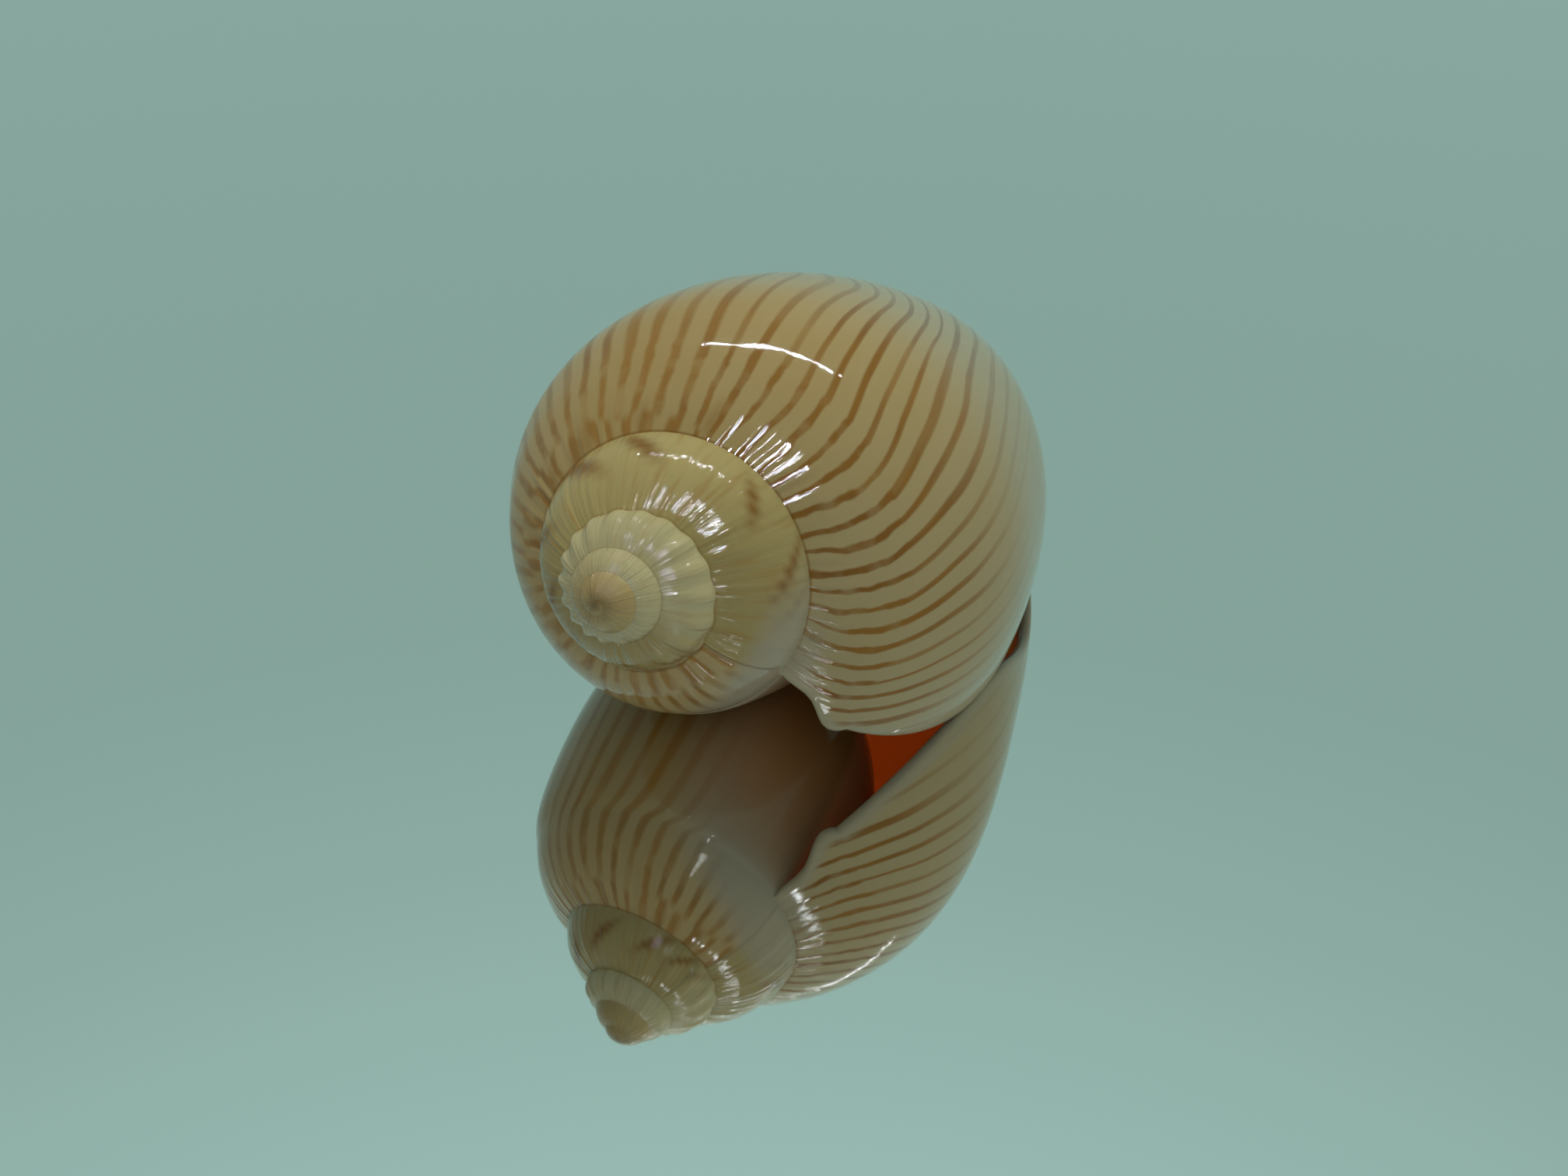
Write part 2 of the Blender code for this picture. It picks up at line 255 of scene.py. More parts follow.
    def relief(self, t: Array, v: Array, depth: Array) -> Array:
        """Added radius: knobs 4 u^1.5 (1 - u) high on the third whorl, folds as bells across the
        columella.

        Args:
            t: turns of growth.
            v: places down the outline, of t's shape.
            depth: distance from the apex along the axis.

        Returns:
            The added radius in millimetres.
        """
        u = np.clip(v, 0.0, 1.0)
        knobs = self.knob_height * self.knob_wave(t) * 4.0 * u**1.5 * (1.0 - u)
        line = depth - self.fold_fall * (t + 1.0)
        folds = sum(bell(line, centre, self.fold_width) for centre in self.fold_depth)
        inside = 1.0 - ease(t, *self.folds_end)
        return knobs + self.fold_height * folds * inside * (v > 1.0)

    def outline(self, t: Array, v: Array) -> tuple[Array, Array]:
        """Outline of a whorl: a bulged chord above the join, a cubic curve through blended points
        below.

        Args:
            t: turns of growth.
            v: places down the outline, of t's shape.

        Returns:
            Radius and depth of each point.
        """
        shape = t.shape
        t = t.ravel()
        v = v.ravel()
        r0, d0 = self.suture(np.minimum(t, 0.0))
        grown = np.maximum(t, 0.0)
        r0 = r0 * (1.0 + self.past_lip[0] * grown)
        d0 = d0 * (1.0 + self.past_lip[1] * grown)
        r1, d1 = self.join(t)
        chord_r = r1 - r0
        chord_d = d1 - d0
        bulge = self.band_bulge + (self.lip_bulge - self.band_bulge) * ease(t, -1.0, -0.3)
        u = np.clip(v, 0.0, 1.0)
        rise = 4.0 * u * (1.0 - u) * bulge
        upper_r = r0 + chord_r * u + chord_d * rise
        upper_d = d0 + chord_d * u - chord_r * rise
        end_r = chord_r - 4.0 * bulge * chord_d
        end_d = chord_d + 4.0 * bulge * chord_r
        shares = [self.opening(t, *given) for given in zip(self.opening_rate, self.inner_limit)]
        lower_r = [r1] + [a * (b / a) ** s for a, b, s in zip(self.inner_radius, self.lip_radius, shares)]
        lower_d = [d1] + [a * (b / a) ** s for a, b, s in zip(self.inner_depth, self.lip_depth, shares)]
        lower_r.append(np.zeros_like(r1))
        lower_d.append(np.full_like(r1, self.length))
        lead = 0.02
        gap = np.hypot(lower_r[1] - r1, lower_d[1] - d1)
        back = lead * 6.0 * gap / np.maximum(np.hypot(end_r, end_d), 1e-9)
        lower_r.insert(0, r1 - end_r * back)
        lower_d.insert(0, d1 - end_d * back)
        knots = np.concatenate([[1.0 - lead], np.linspace(1.0, 2.0, 7)])
        w = spline_weights(knots, np.clip(v, 1.0, 2.0))
        radius = np.where(v <= 1.0, upper_r, (w * np.stack(lower_r, 1)).sum(1))
        depth = np.where(v <= 1.0, upper_d, (w * np.stack(lower_d, 1)).sum(1))
        return (radius + self.relief(t, v, depth)).reshape(shape), depth.reshape(shape)

    def place(self, t: Array, radius: Array, depth: Array) -> Array:
        """Points (r cos a, r sin a, depth), with a = 2 pi t plus the lip's angle; those within
        apex_point of the apex are drawn into it, which leaves no slivers there.

        Args:
            t: turns of growth.
            radius: distance from the axis.
            depth: distance from the apex along the axis.

        Returns:
            Points in the shell's own frame, in millimetres.
        """
        angle = 2.0 * math.pi * t + math.radians(self.lip_angle)
        kept = np.hypot(radius, depth) > self.apex_point
        return np.stack([radius * np.cos(angle), radius * np.sin(angle), depth], -1) * kept[..., None]

    def skin(self, t: Array | float, v: Array | float) -> Array:
        """Outer surface points at turns t and places v."""
        t, v = np.broadcast_arrays(np.asarray(t, float), np.asarray(v, float))
        return self.place(t, *self.outline(t, v))

    def skin_normal(self, t: Array, v: Array) -> Array:
        """Unit outward direction: cross product of small steps along v and t, turned away from the
        axis; next to the tip, where the surface narrows to a point, that of a place short of it.

        Args:
            t: turns of growth.
            v: places down the outline, of t's shape.

        Returns:
            One direction per point.
        """
        step = 1e-3
        short_of_tip = 0.02
        v0 = np.clip(v, step, 2.0 - short_of_tip)
        along_t = self.skin(t + step, v0) - self.skin(t - step, v0)
        along_v = self.skin(t, v0 + step) - self.skin(t, v0 - step)
        normal = np.cross(along_v, along_t)
        normal /= np.maximum(np.linalg.norm(normal, axis=-1, keepdims=True), 1e-12)
        side = np.sign((normal * self.place(t, np.ones_like(t), np.zeros_like(t))).sum(-1, keepdims=True))
        return normal * np.where(side == 0.0, 1.0, side)

    def lip_curve(self, v: Array) -> Array:
        """Turns by which the lip edge runs ahead at place v: cubic steps with averaged slopes.

        Args:
            v: places down the outline.

        Returns:
            The turns, of v's shape.
        """
        x = np.asarray(self.lip_place)
        y = np.asarray(self.lip_ahead)
        k = np.clip(np.searchsorted(x, v, side="right") - 1, 0, len(x) - 2)
        slope = np.gradient(y, x)
        slope[0] = self.lip_start_slope * (y[1] - y[0]) / (x[1] - x[0])
        h = x[k + 1] - x[k]
        s = (v - x[k]) / h
        return ((1 + 2 * s) * (1 - s) ** 2 * y[k] + s * (1 - s) ** 2 * h * slope[k]
                + s * s * (3 - 2 * s) * y[k + 1] + s * s * (s - 1) * h * slope[k + 1])

    def lining(self, t: Array, v: Array) -> Array:
        """Inner face of the wall: the skin moved in along its normal, and eased onto the whorl
        before it at the suture and at the base.

        Args:
            t: turns of growth.
            v: places down the outline, of t's shape.

        Returns:
            Points in millimetres.
        """
        wall = self.wall + (self.lip_wall - self.wall) * ease(t, self.thinning_turn, 0.0)
        point = self.skin(t, v) - self.skin_normal(t, v) * wall[..., None]
        top = self.skin(t - 1.0, np.full_like(t, self.corner))
        base = self.skin(t - 1.0, np.full_like(t, self.base))
        upper = (1.0 - ease(v, 0.0, self.top_reach))[..., None]
        lower = ease(v, self.base_reach, 2.0)[..., None]
        return point * (1.0 - upper - lower) + top * upper + base * lower


@dataclass
class RestingPose:
    """How the shell lies: dip and roll of its axis in degrees, and shift to the row's frame."""

    dip: float = 13.87
    roll: float = 0.88
    shift: tuple[float, float, float] = (-3.2697, -40.2597, 21.3792)

    def lay(self, points: Array) -> Array:
        """Turn and move the points by roll, dip and shift, and wear them flat at the table.

        Args:
            points: millimetres in the shell's own frame, one row each.

        Returns:
            Metres in the row's frame, nothing below the table.
        """
        d = math.radians(self.dip)
        r = math.radians(self.roll)
        side = points[:, 0] * math.cos(r) - points[:, 1] * math.sin(r)
        down = points[:, 0] * math.sin(r) + points[:, 1] * math.cos(r)
        y = points[:, 2] * math.cos(d) - down * math.sin(d)
        z = -points[:, 2] * math.sin(d) - down * math.cos(d)
        laid = np.stack([side, y, z], 1) + np.asarray(self.shift)
        laid[:, 2] = np.maximum(laid[:, 2], 0.0)
        return laid * MM


@dataclass
class Wash:
    """Slow colour masks painted along the growth of the shell, each from 0 to 1.

    A blotch is four numbers: its turn, its place, its half width in turns and its half height in
    places.  Those of the upper whorl lean: their turn falls as the place rises.
    """

    blur: float = 0.028
    onset: tuple[float, float] = (-1.22, -1.08)
    soft_edge: tuple[float, float] = (-0.12, 0.22)
    seam_turns: tuple[float, float] = (-0.085, -0.030)
    seam_places: tuple[float, float] = (0.14, 0.36)
    under_rise: tuple[float, float] = (-1.060, -1.022)
    under_fall: tuple[float, float] = (-0.990, -0.960)
    under_places: tuple[float, float] = (0.30, 0.55)
    apex_turns: tuple[float, float] = (-3.80, -3.25)
    # Places and turns of the painted warm shade on the glaze deeper in the mouth.
    painted_shade_places: tuple[float, float] = (1.04, 1.32)
    painted_shade_turns: tuple[float, float] = (-0.95, -0.76)
    border_turn: tuple[float, ...] = (-1.30, -1.13, -1.08, -0.98, -0.93, -0.88, -0.84, -0.78)
    border_place: tuple[float, ...] = (1.30, 1.02, 0.46, 0.40, 0.60, 1.02, 1.55, 2.20)
    lean: float = -0.135
    leaning: tuple[tuple[float, float, float, float], ...] = (
        (-1.085, 0.78, 0.007, 0.15), (-1.128, 0.75, 0.009, 0.24), (-1.218, 0.70, 0.011, 0.17),
        (-1.372, 0.76, 0.016, 0.20), (-1.470, 0.80, 0.020, 0.34), (-1.575, 0.60, 0.016, 0.25),
        # The patch at turn -1.665, place 0.35 is painted shade below the knobbed whorl, not a blotch of the
        # pattern.
        (-1.665, 0.35, 0.020, 0.20), (-1.775, 0.60, 0.014, 0.25), (-1.890, 0.75, 0.012, 0.25),
        (-1.960, 0.80, 0.010, 0.20), (-2.015, 0.85, 0.012, 0.18),
    )
    upright: tuple[tuple[float, float, float, float], ...] = (
        (-0.312, 0.20, 0.008, 0.20), (-0.386, 0.12, 0.006, 0.17), (-0.457, 0.14, 0.009, 0.20),
        (-0.517, 0.10, 0.005, 0.16), (-0.545, 0.05, 0.006, 0.12), (-0.600, 0.08, 0.006, 0.14),
        (-0.888, 0.08, 0.007, 0.16), (-0.952, 0.10, 0.008, 0.20), (-0.712, 0.10, 0.007, 0.16),
    )

    def callus(self, t: Array, v: Array) -> Array:
        """Glaze over the whorl before the lip: the mean of five masks shifted along the turn."""
        shifts = np.linspace(-self.blur, self.blur, 5)
        return np.mean([self.glaze(t + shift, v) for shift in shifts], axis=0)

    def glaze(self, t: Array, v: Array) -> Array:
        """Mask of the glaze before it is made soft along the turn: 1 below a slightly wavy border,
        and over the suture at the lip's upper end.

        Args:
            t: turns of growth.
            v: places down the outline, of t's shape.

        Returns:
            The mask, 0 to 1.
        """
        wave = 0.03 * np.sin(37.0 * t) + 0.02 * np.sin(91.0 * t + 1.0)
        border = read_steps(self.border_turn, self.border_place, t) + wave
        near = np.where(v <= 1.0, ease(t, *self.onset), 1.0)
        pad = ease(v, *(border + edge for edge in self.soft_edge)) * near
        seam = ease(t, *self.seam_turns) * (1.0 - ease(v, *self.seam_places))
        under = ease(t, *self.under_rise) * (1.0 - ease(t, *self.under_fall)) * ease(v, *self.under_places)
        return np.maximum(pad, np.maximum(0.9 * seam, under * (v <= 1.0)))

    def blotches(self, t: Array, v: Array) -> Array:
        """Brown blotches, and one patch of painted shade below the knobs: the highest of flat topped bumps,
        exp(-(dt^2 + dv^2)^1.5), around each place.

        Args:
            t: turns of growth.
            v: places down the outline, of t's shape.

        Returns:
            The mask, 0 to 1.
        """
        mask = np.zeros_like(t)
        for spots, lean in ((self.leaning, self.lean), (self.upright, 0.0)):
            for turn, place, width, height in spots:
                across = (t - turn - lean * (v - place)) / width
                down = (v - place) / height
                mask = np.maximum(mask, np.exp(-((across**2 + down**2) ** 1.5)))
        return mask * (v <= 1.05)

    def tan_and_painted_shade(self, t: Array, v: Array) -> Array:
        """Tan tone of the smooth first whorls, and painted warm shade on the glaze deeper in the mouth,
        where the spire's shadow falls.
        """
        # Painted warm shade: brown over the glaze in the shadow deeper in the mouth.
        deeper = ease(v, *self.painted_shade_places) * (1.0 - ease(t, *self.painted_shade_turns))
        return np.maximum(1.0 - ease(t, *self.apex_turns), deeper)


@dataclass
class SurfacePatches:
    """Collects grids of points with their growth numbers, and makes one closed mesh of them."""

    points: list[Array] = field(default_factory=list)
    growth: list[Array] = field(default_factory=list)
    masks: list[Array] = field(default_factory=list)
    faces: list[list[int]] = field(default_factory=list)
    sides: list[int] = field(default_factory=list)
    count: int = 0
    weld: float = 2e-6
    sliver: float = 1e-6
    crease: float = 38.0

    def add(self, grid: Array, t: Array, v: Array, masks: Array, side: Face) -> Array:
        """Add a grid and its four-sided faces.

        Args:
            grid: points, rows by columns by 3.
            t: turns of the points.
            v: places of the points.
            masks: four colour masks of each point.
            side: which side of the shell this is.

        Returns:
            The index of each point.
        """
        rows, cols = grid.shape[:2]
        index = np.arange(rows * cols).reshape(rows, cols) + self.count
        self.points.append(grid.reshape(-1, 3))
        both = [np.broadcast_to(number, (rows, cols)) for number in (t, v)]
        self.growth.append(np.stack(both, -1).reshape(-1, 2))
        self.masks.append(masks.reshape(-1, 4))
        self.count += rows * cols
        quads = np.stack([index[:-1, :-1], index[:-1, 1:], index[1:, 1:], index[1:, :-1]], -1)
        quads = quads.reshape(-1, 4)
        self.faces.extend(quads.tolist())
        self.sides.extend([side.value] * len(quads))
        return index

    def close(self, corners: list[int], side: Face) -> None:
        """Add one face by its corners."""
        self.faces.append([int(i) for i in corners])
        self.sides.append(side.value)

    def build(self, name: str, lay: RestingPose, warp: "StripeCourse",
              materials: list[bpy.types.Material]) -> bpy.types.Object:
        """Make the object: points laid on the table, growth numbers as UV, masks as corner colours.

        Args:
            name: name of the object.
            lay: the resting pose.
            warp: turns the growth numbers into stripe coordinates.
            materials: one per side, in the order of Face.

        Returns:
            The closed, outward facing, smooth shaded object.
        """
        points = lay.lay(np.concatenate(self.points))
        growth = warp.coordinates(np.concatenate(self.growth))
        masks = np.concatenate(self.masks)
        mesh = bpy.data.meshes.new(name)
        mesh.from_pydata(points.tolist(), [], self.faces)
        corners = np.empty(len(mesh.loops), dtype=np.int32)
        mesh.loops.foreach_get("vertex_index", corners)
        layer = mesh.uv_layers.new(name="growth")
        layer.data.foreach_set("uv", growth[corners].astype(np.float32).ravel())
        wash = mesh.color_attributes.new(name="wash", type="FLOAT_COLOR", domain="CORNER")
        wash.data.foreach_set("color", masks[corners].astype(np.float32).ravel())
        mesh.polygons.foreach_set("material_index", np.asarray(self.sides, dtype=np.int32))
        body = bmesh.new()
        body.from_mesh(mesh)
        bmesh.ops.remove_doubles(body, verts=list(body.verts), dist=self.weld)
        bmesh.ops.dissolve_degenerate(body, edges=list(body.edges), dist=self.sliver)
        bmesh.ops.recalc_face_normals(body, faces=list(body.faces))
        open_edges = sum(1 for e in body.edges if len(e.link_faces) != 2)
        LOG.info("%s: %d faces, %d edges without two faces", name, len(body.faces), open_edges)
        body.to_mesh(mesh)
        body.free()
        mesh.polygons.foreach_set("use_smooth", np.ones(len(mesh.polygons), dtype=bool))
        mesh.set_sharp_from_angle(angle=math.radians(self.crease))
        for material in materials:
            mesh.materials.append(material)
        thing = bpy.data.objects.new(name, mesh)
        bpy.context.scene.collection.objects.link(thing)
        return thing


@dataclass
class StripeCourse:
    """How the stripes run: bent like the lip, bent less on older growth, and closer together
    towards the lip."""

    place: tuple[float, ...] = (0.0, 0.30, 0.60, 0.80, 1.0, 1.06, 1.14, 1.25, 1.35, 1.5, 1.7, 1.88, 2.0)
    ahead: tuple[float, ...] = (0.002, 0.004, 0.001, -0.003, -0.009, -0.027, -0.045, -0.067, -0.081,
                                -0.099, -0.115, -0.16, -0.30)
    start_turns: tuple[float, float] = (-1.02, -0.98)
    old_bend: float = 0.15
    old_turns: tuple[float, float] = (-0.32, -0.21)
    early_bend: float = 0.35
    early_turns: tuple[float, float] = (-0.62, -0.50)
    front_places: tuple[float, float] = (1.25, 1.5)
    crowding: float = 1.6
    crowding_from: float = -0.16
    wide_share: float = 0.11
    wide_from: float = -0.55
    wide_until: float = -1.01

    def coordinates(self, growth: Array) -> Array:
        """Stripe coordinates: t less the bend read between knots at v, times its share at t, then
        stretched near the lip.

        Args:
            growth: turn and place of each point.

        Returns:
            Turn along the stripes' course, and place.
        """
        t, v = growth[:, 0], growth[:, 1]
        bend = np.interp(v, self.place, self.ahead)
        share = self.old_bend + (1.0 - self.old_bend) * ease(t, *self.old_turns)
        share = share + self.early_bend * (1.0 - ease(t, *self.early_turns))
        share = share + (1.0 - share) * ease(v, *self.front_places)
        course = t - bend * share * ease(t, *self.start_turns)
        near_lip = np.maximum(course - self.crowding_from, 0.0) ** 2 * self.crowding
        early = np.minimum(course - self.wide_from, 0.0) * self.wide_share * (t > self.wide_until)
        return np.stack([course + near_lip - early, v], 1)


class NodeBench:
    """Places and links shader nodes in one tree, with plain helpers for sums and masks."""

    def __init__(self, tree: bpy.types.NodeTree) -> None:
        """Start on an existing node tree."""
        self.tree = tree

    def node(self, kind: str, **values: object) -> bpy.types.Node:
        """Add a node of a kind and set its properties.

        Args:
            kind: Blender's name of the kind of node.
            values: its properties by name.

        Returns:
            The node.
        """
        made = self.tree.nodes.new(kind)
        for key, value in values.items():
            setattr(made, key, value)
        return made

    def feed(self, socket: Socket, value: object) -> None:
        """Give an input socket a link or a plain value.

        Args:
            socket: the input.
            value: an output socket to link, a number, or a colour of three numbers.
        """
        if isinstance(value, bpy.types.NodeSocket):
            self.tree.links.new(value, socket)
        elif isinstance(value, tuple) and len(value) == 3 and socket.type == "RGBA":
            socket.default_value = (*value, 1.0)
        else:
            socket.default_value = value

    def use(self, tree: bpy.types.NodeTree, given: dict[str, object]) -> bpy.types.Node:
        """Add a group and feed each of its inputs the value given under its name.

        Args:
            tree: the group.
            given: values by name; the group takes those that it has inputs for.

        Returns:
            The group's node.
        """
        made = self.node("ShaderNodeGroup", node_tree=tree)
        for socket in made.inputs:
            self.feed(socket, given[socket.name])
        return made

    def math(self, operation: str, a: object, b: object = 0.0, c: object = 0.0) -> Socket:
        """One step of arithmetic on one to three values.

        Args:
            operation: Blender's name of the operation.
            a: first value.
            b: second value.
            c: third value.

        Returns:
            The result.
        """
        made = self.node("ShaderNodeMath", operation=operation)
        for socket, value in zip(made.inputs, (a, b, c)):
            self.feed(socket, value)
        return made.outputs[0]

    def times(self, a: object, b: object) -> Socket:
        """Product of two values."""
        return self.math("MULTIPLY", a, b)

    def plus(self, a: object, b: object) -> Socket:
        """Sum of two values."""
        return self.math("ADD", a, b)

    def less(self, a: object, b: object) -> Socket:
        """The first value less the second."""
        return self.math("SUBTRACT", a, b)

    def scaled(self, a: object, b: object, c: object) -> Socket:
        """a times b, plus c."""
        return self.math("MULTIPLY_ADD", a, b, c)

    def step(self, value: object, low: object, high: object, start: float = 0.0,
             end: float = 1.0) -> Socket:
        """Smooth step of a value from start to end between low and high.

        Args:
            value: what is read.
            low: where the step starts.
            high: where the step ends.
            start: result up to low.
            end: result from high on.

        Returns:
            The result.
        """
        made = self.node("ShaderNodeMapRange", interpolation_type="SMOOTHSTEP")
        names = ("Value", "From Min", "From Max", "To Min", "To Max")
        for key, item in zip(names, (value, low, high, start, end)):
            self.feed(made.inputs[key], item)
        return made.outputs["Result"]

    def mix(self, share: object, a: object, b: object) -> Socket:
        """Colour a turned into colour b by a share.

        Args:
            share: 0 for a, 1 for b.
            a: first colour.
            b: second colour.

        Returns:
            The mixed colour.
        """
        made = self.node("ShaderNodeMix", data_type="RGBA")
        colours = [s for s in made.inputs if s.type == "RGBA"]
        self.feed(made.inputs["Factor"], share)
        self.feed(colours[0], a)
        self.feed(colours[1], b)
        return next(s for s in made.outputs if s.type == "RGBA")

    def join(self, x: object, y: object, z: object) -> Socket:
        """A vector from three values.

        Args:
            x: first value.
            y: second value.
            z: third value.

        Returns:
            The vector.
        """
        made = self.node("ShaderNodeCombineXYZ")
        for socket, value in zip(made.inputs, (x, y, z)):
            self.feed(socket, value)
        return made.outputs[0]

    def strewn(self, turn: object, per_turn: float, place: object, per_place: float, seed: float) -> Socket:
        """Where to read a noise: turn and place, each stretched, and a seed."""
        return self.join(self.times(turn, per_turn), self.times(place, per_place), seed)

    def noise(self, where: object, scale: float = 1.0, detail: float = 1.0, rough: float = 0.5) -> Socket:
        """Soft noise, about 0.5 in the mean, at a vector.

        Args:
            where: the vector.
            scale: lumps per unit of the vector.
            detail: how many finer noises are added.
            rough: how strong the finer ones are.

        Returns:
            The noise.
        """
        made = self.node("ShaderNodeTexNoise", noise_dimensions="3D")
        self.feed(made.inputs["Vector"], where)
        made.inputs["Scale"].default_value = scale
        made.inputs["Detail"].default_value = detail
        made.inputs["Roughness"].default_value = rough
        return made.outputs["Fac"]

    def sway(self, where: object) -> Socket:
        """Soft noise about zero at a vector."""
        return self.less(self.noise(where), 0.5)

    def hash(self, value: object) -> Socket:
        """One random number from 0 to 1 for each whole value.

        Args:
            value: the whole value.

        Returns:
            The number.
        """
        made = self.node("ShaderNodeTexWhiteNoise", noise_dimensions="1D")
        self.feed(made.inputs["W"], value)
        return made.outputs["Value"]


def group(name: str, inputs: dict[str, str], outputs: dict[str, str]) -> tuple[
        bpy.types.NodeTree, NodeBench, dict[str, Socket], dict[str, Socket]]:
    """A shader node group with named sockets.

    Args:
        name: name of the group.
        inputs: socket type by name.
        outputs: socket type by name.

    Returns:
        The group, a bench on it, its input sockets by name and its output sockets by name.
    """
    tree = bpy.data.node_groups.new(name, "ShaderNodeTree")
    for way, kinds in (("INPUT", inputs), ("OUTPUT", outputs)):
        for key, kind in kinds.items():
            tree.interface.new_socket(key, in_out=way, socket_type=kind)
    bench = NodeBench(tree)
    way_in = bench.node("NodeGroupInput")
    way_out = bench.node("NodeGroupOutput")
    return tree, bench, {s.name: s for s in way_in.outputs}, {s.name: s for s in way_out.inputs}


@dataclass(frozen=True)
class StripePattern:
    """Thin brown stripes across the whorl, and on older growth a second family below the suture.

    Widths and edges are shares of the distance between stripes.
    """

    side_count: float = 48.8
    side_seed: float = 1.3
    suture_count: float = 40.0
    suture_seed: float = 6.1
    width: float = 0.24
    old_width: float = 0.35
    edge: float = 0.13
    old_edge: float = 0.22
    shake: float = 0.22
    random_width: float = 0.08
    slow_width: float = 0.34
    blotch_width: float = 0.20
    old_turns: tuple[float, float] = (-0.42, -0.26)
    border_edge: float = 0.06

    def family(self, bench: NodeBench, given: dict[str, Socket], old: Socket, count: float,
               seed: float) -> Socket:
        """Mask of one family: distance of the warped turn from the nearest whole stripe, with a soft edge.

        Args:
            bench: where the nodes go.
            given: turn along the stripes' course, place, and the blotches that widen the stripes.
            old: 1 on older growth, 0 near the lip.
            count: stripes per turn.
            seed: shifts the random numbers.

        Returns:
            The mask, 1 on a stripe.
        """
        turn, place = given["Turn"], given["Place"]
        loose = bench.step(place, 0.10, 0.50, 1.5, 0.55)
        wander = bench.times(bench.sway(bench.strewn(turn, 19.0, place, 1.15, seed)), loose)
        shake = bench.times(bench.sway(bench.strewn(turn, 60.0, place, 6.0, seed + 2.0)), self.shake)
        phase = bench.plus(bench.times(turn, count), bench.plus(wander, shake))
        whole = bench.math("ROUND", phase)
        gap = bench.times(bench.math("ABSOLUTE", bench.less(phase, whole)), 2.0)
        luck = bench.hash(bench.plus(whole, seed * 17.0))
        slow = bench.sway(bench.strewn(whole, 0.71, place, 2.4, seed + 3.0))
        width = bench.plus(bench.times(luck, self.random_width), bench.times(slow, self.slow_width))
        width = bench.plus(width, bench.scaled(old, self.old_width - self.width, self.width))
        width = bench.scaled(given["Blotch"], self.blotch_width, width)
        edge = bench.scaled(old, self.old_edge - self.edge, self.edge)
        mask = bench.step(gap, bench.less(width, edge), bench.plus(width, edge), 1.0, 0.0)
        other = bench.hash(bench.plus(whole, seed * 31.0 + 5.0))
        breaks = bench.noise(bench.strewn(other, 40.0, place, 2.2, seed + 9.0), detail=0.0)
        return bench.times(mask, bench.step(breaks, 0.20, 0.34, 0.25, 1.0))

    def build(self) -> bpy.types.NodeTree:
        """Group that puts out the stripe mask from turn, place and blotch.

        Returns:
            The group.
        """
        tree, bench, given, out = group(
            "stripe_pattern",
            {"Turn": "NodeSocketFloat", "Place": "NodeSocketFloat", "Blotch": "NodeSocketFloat"},
            {"Stripe": "NodeSocketFloat"},
        )
        turn, place = given["Turn"], given["Place"]
        old = bench.step(turn, *self.old_turns, 1.0, 0.0)
        side = self.family(bench, given, old, self.side_count, self.side_seed)
        upper = self.family(bench, given, old, self.suture_count, self.suture_seed)
        wobble = bench.noise(bench.join(bench.times(turn, 13.0), 0.0, 4.4))
        border = bench.scaled(bench.times(wobble, old), 0.85, -0.12)
        edge = self.border_edge
        share = bench.step(place, bench.less(border, edge), bench.plus(border, edge))
        mixed = bench.plus(bench.times(side, share), bench.times(upper, bench.less(1.0, share)))
        bench.feed(out["Stripe"], bench.math("MINIMUM", mixed, 1.0))
        return tree


@dataclass(frozen=True)
class GrowthLines:
    """Fine ridges of growth, as a height that streaks the gloss, stronger near the suture."""

    per_turn: float = 300.0
    broad_share: float = 0.42
    fine_height: float = 0.22
    side_height: float = 0.16
    spire_height: float = 0.8
    ripple_height: float = 0.040
    ripple_scale: float = 1500.0
    cloud_scale: float = 90.0
    side_places: tuple[float, float] = (0.25, 0.60)

    def build(self) -> bpy.types.NodeTree:
        """Group that puts out a height and a soft cloudiness from turn, place and object position.

        Returns:
            The group.
        """
        tree, bench, given, out = group(
            "growth_lines",
            {"Turn": "NodeSocketFloat", "Place": "NodeSocketFloat", "Position": "NodeSocketVector"},
            {"Height": "NodeSocketFloat", "Cloud": "NodeSocketFloat"},
        )
        turn, place = given["Turn"], given["Place"]
        fine = bench.noise(bench.strewn(turn, self.per_turn, place, 1.6, 0.5), detail=2.0, rough=0.55)
        coarse = self.per_turn * self.broad_share
        broad = bench.noise(bench.strewn(turn, coarse, place, 0.8, 7.5), detail=0.0)
        ripple = bench.noise(given["Position"], self.ripple_scale, 2.0, 0.6)
        near = bench.step(place, *self.side_places, 1.0, self.side_height)
        near = bench.math("MAXIMUM", near, bench.step(turn, *BODY_TURNS, self.spire_height, 0.0))
        height = bench.times(bench.scaled(fine, self.fine_height, broad), near)
        bench.feed(out["Height"], bench.plus(height, bench.times(ripple, self.ripple_height)))
        bench.feed(out["Cloud"], bench.noise(given["Position"], self.cloud_scale, 3.0, 0.55))
        return tree


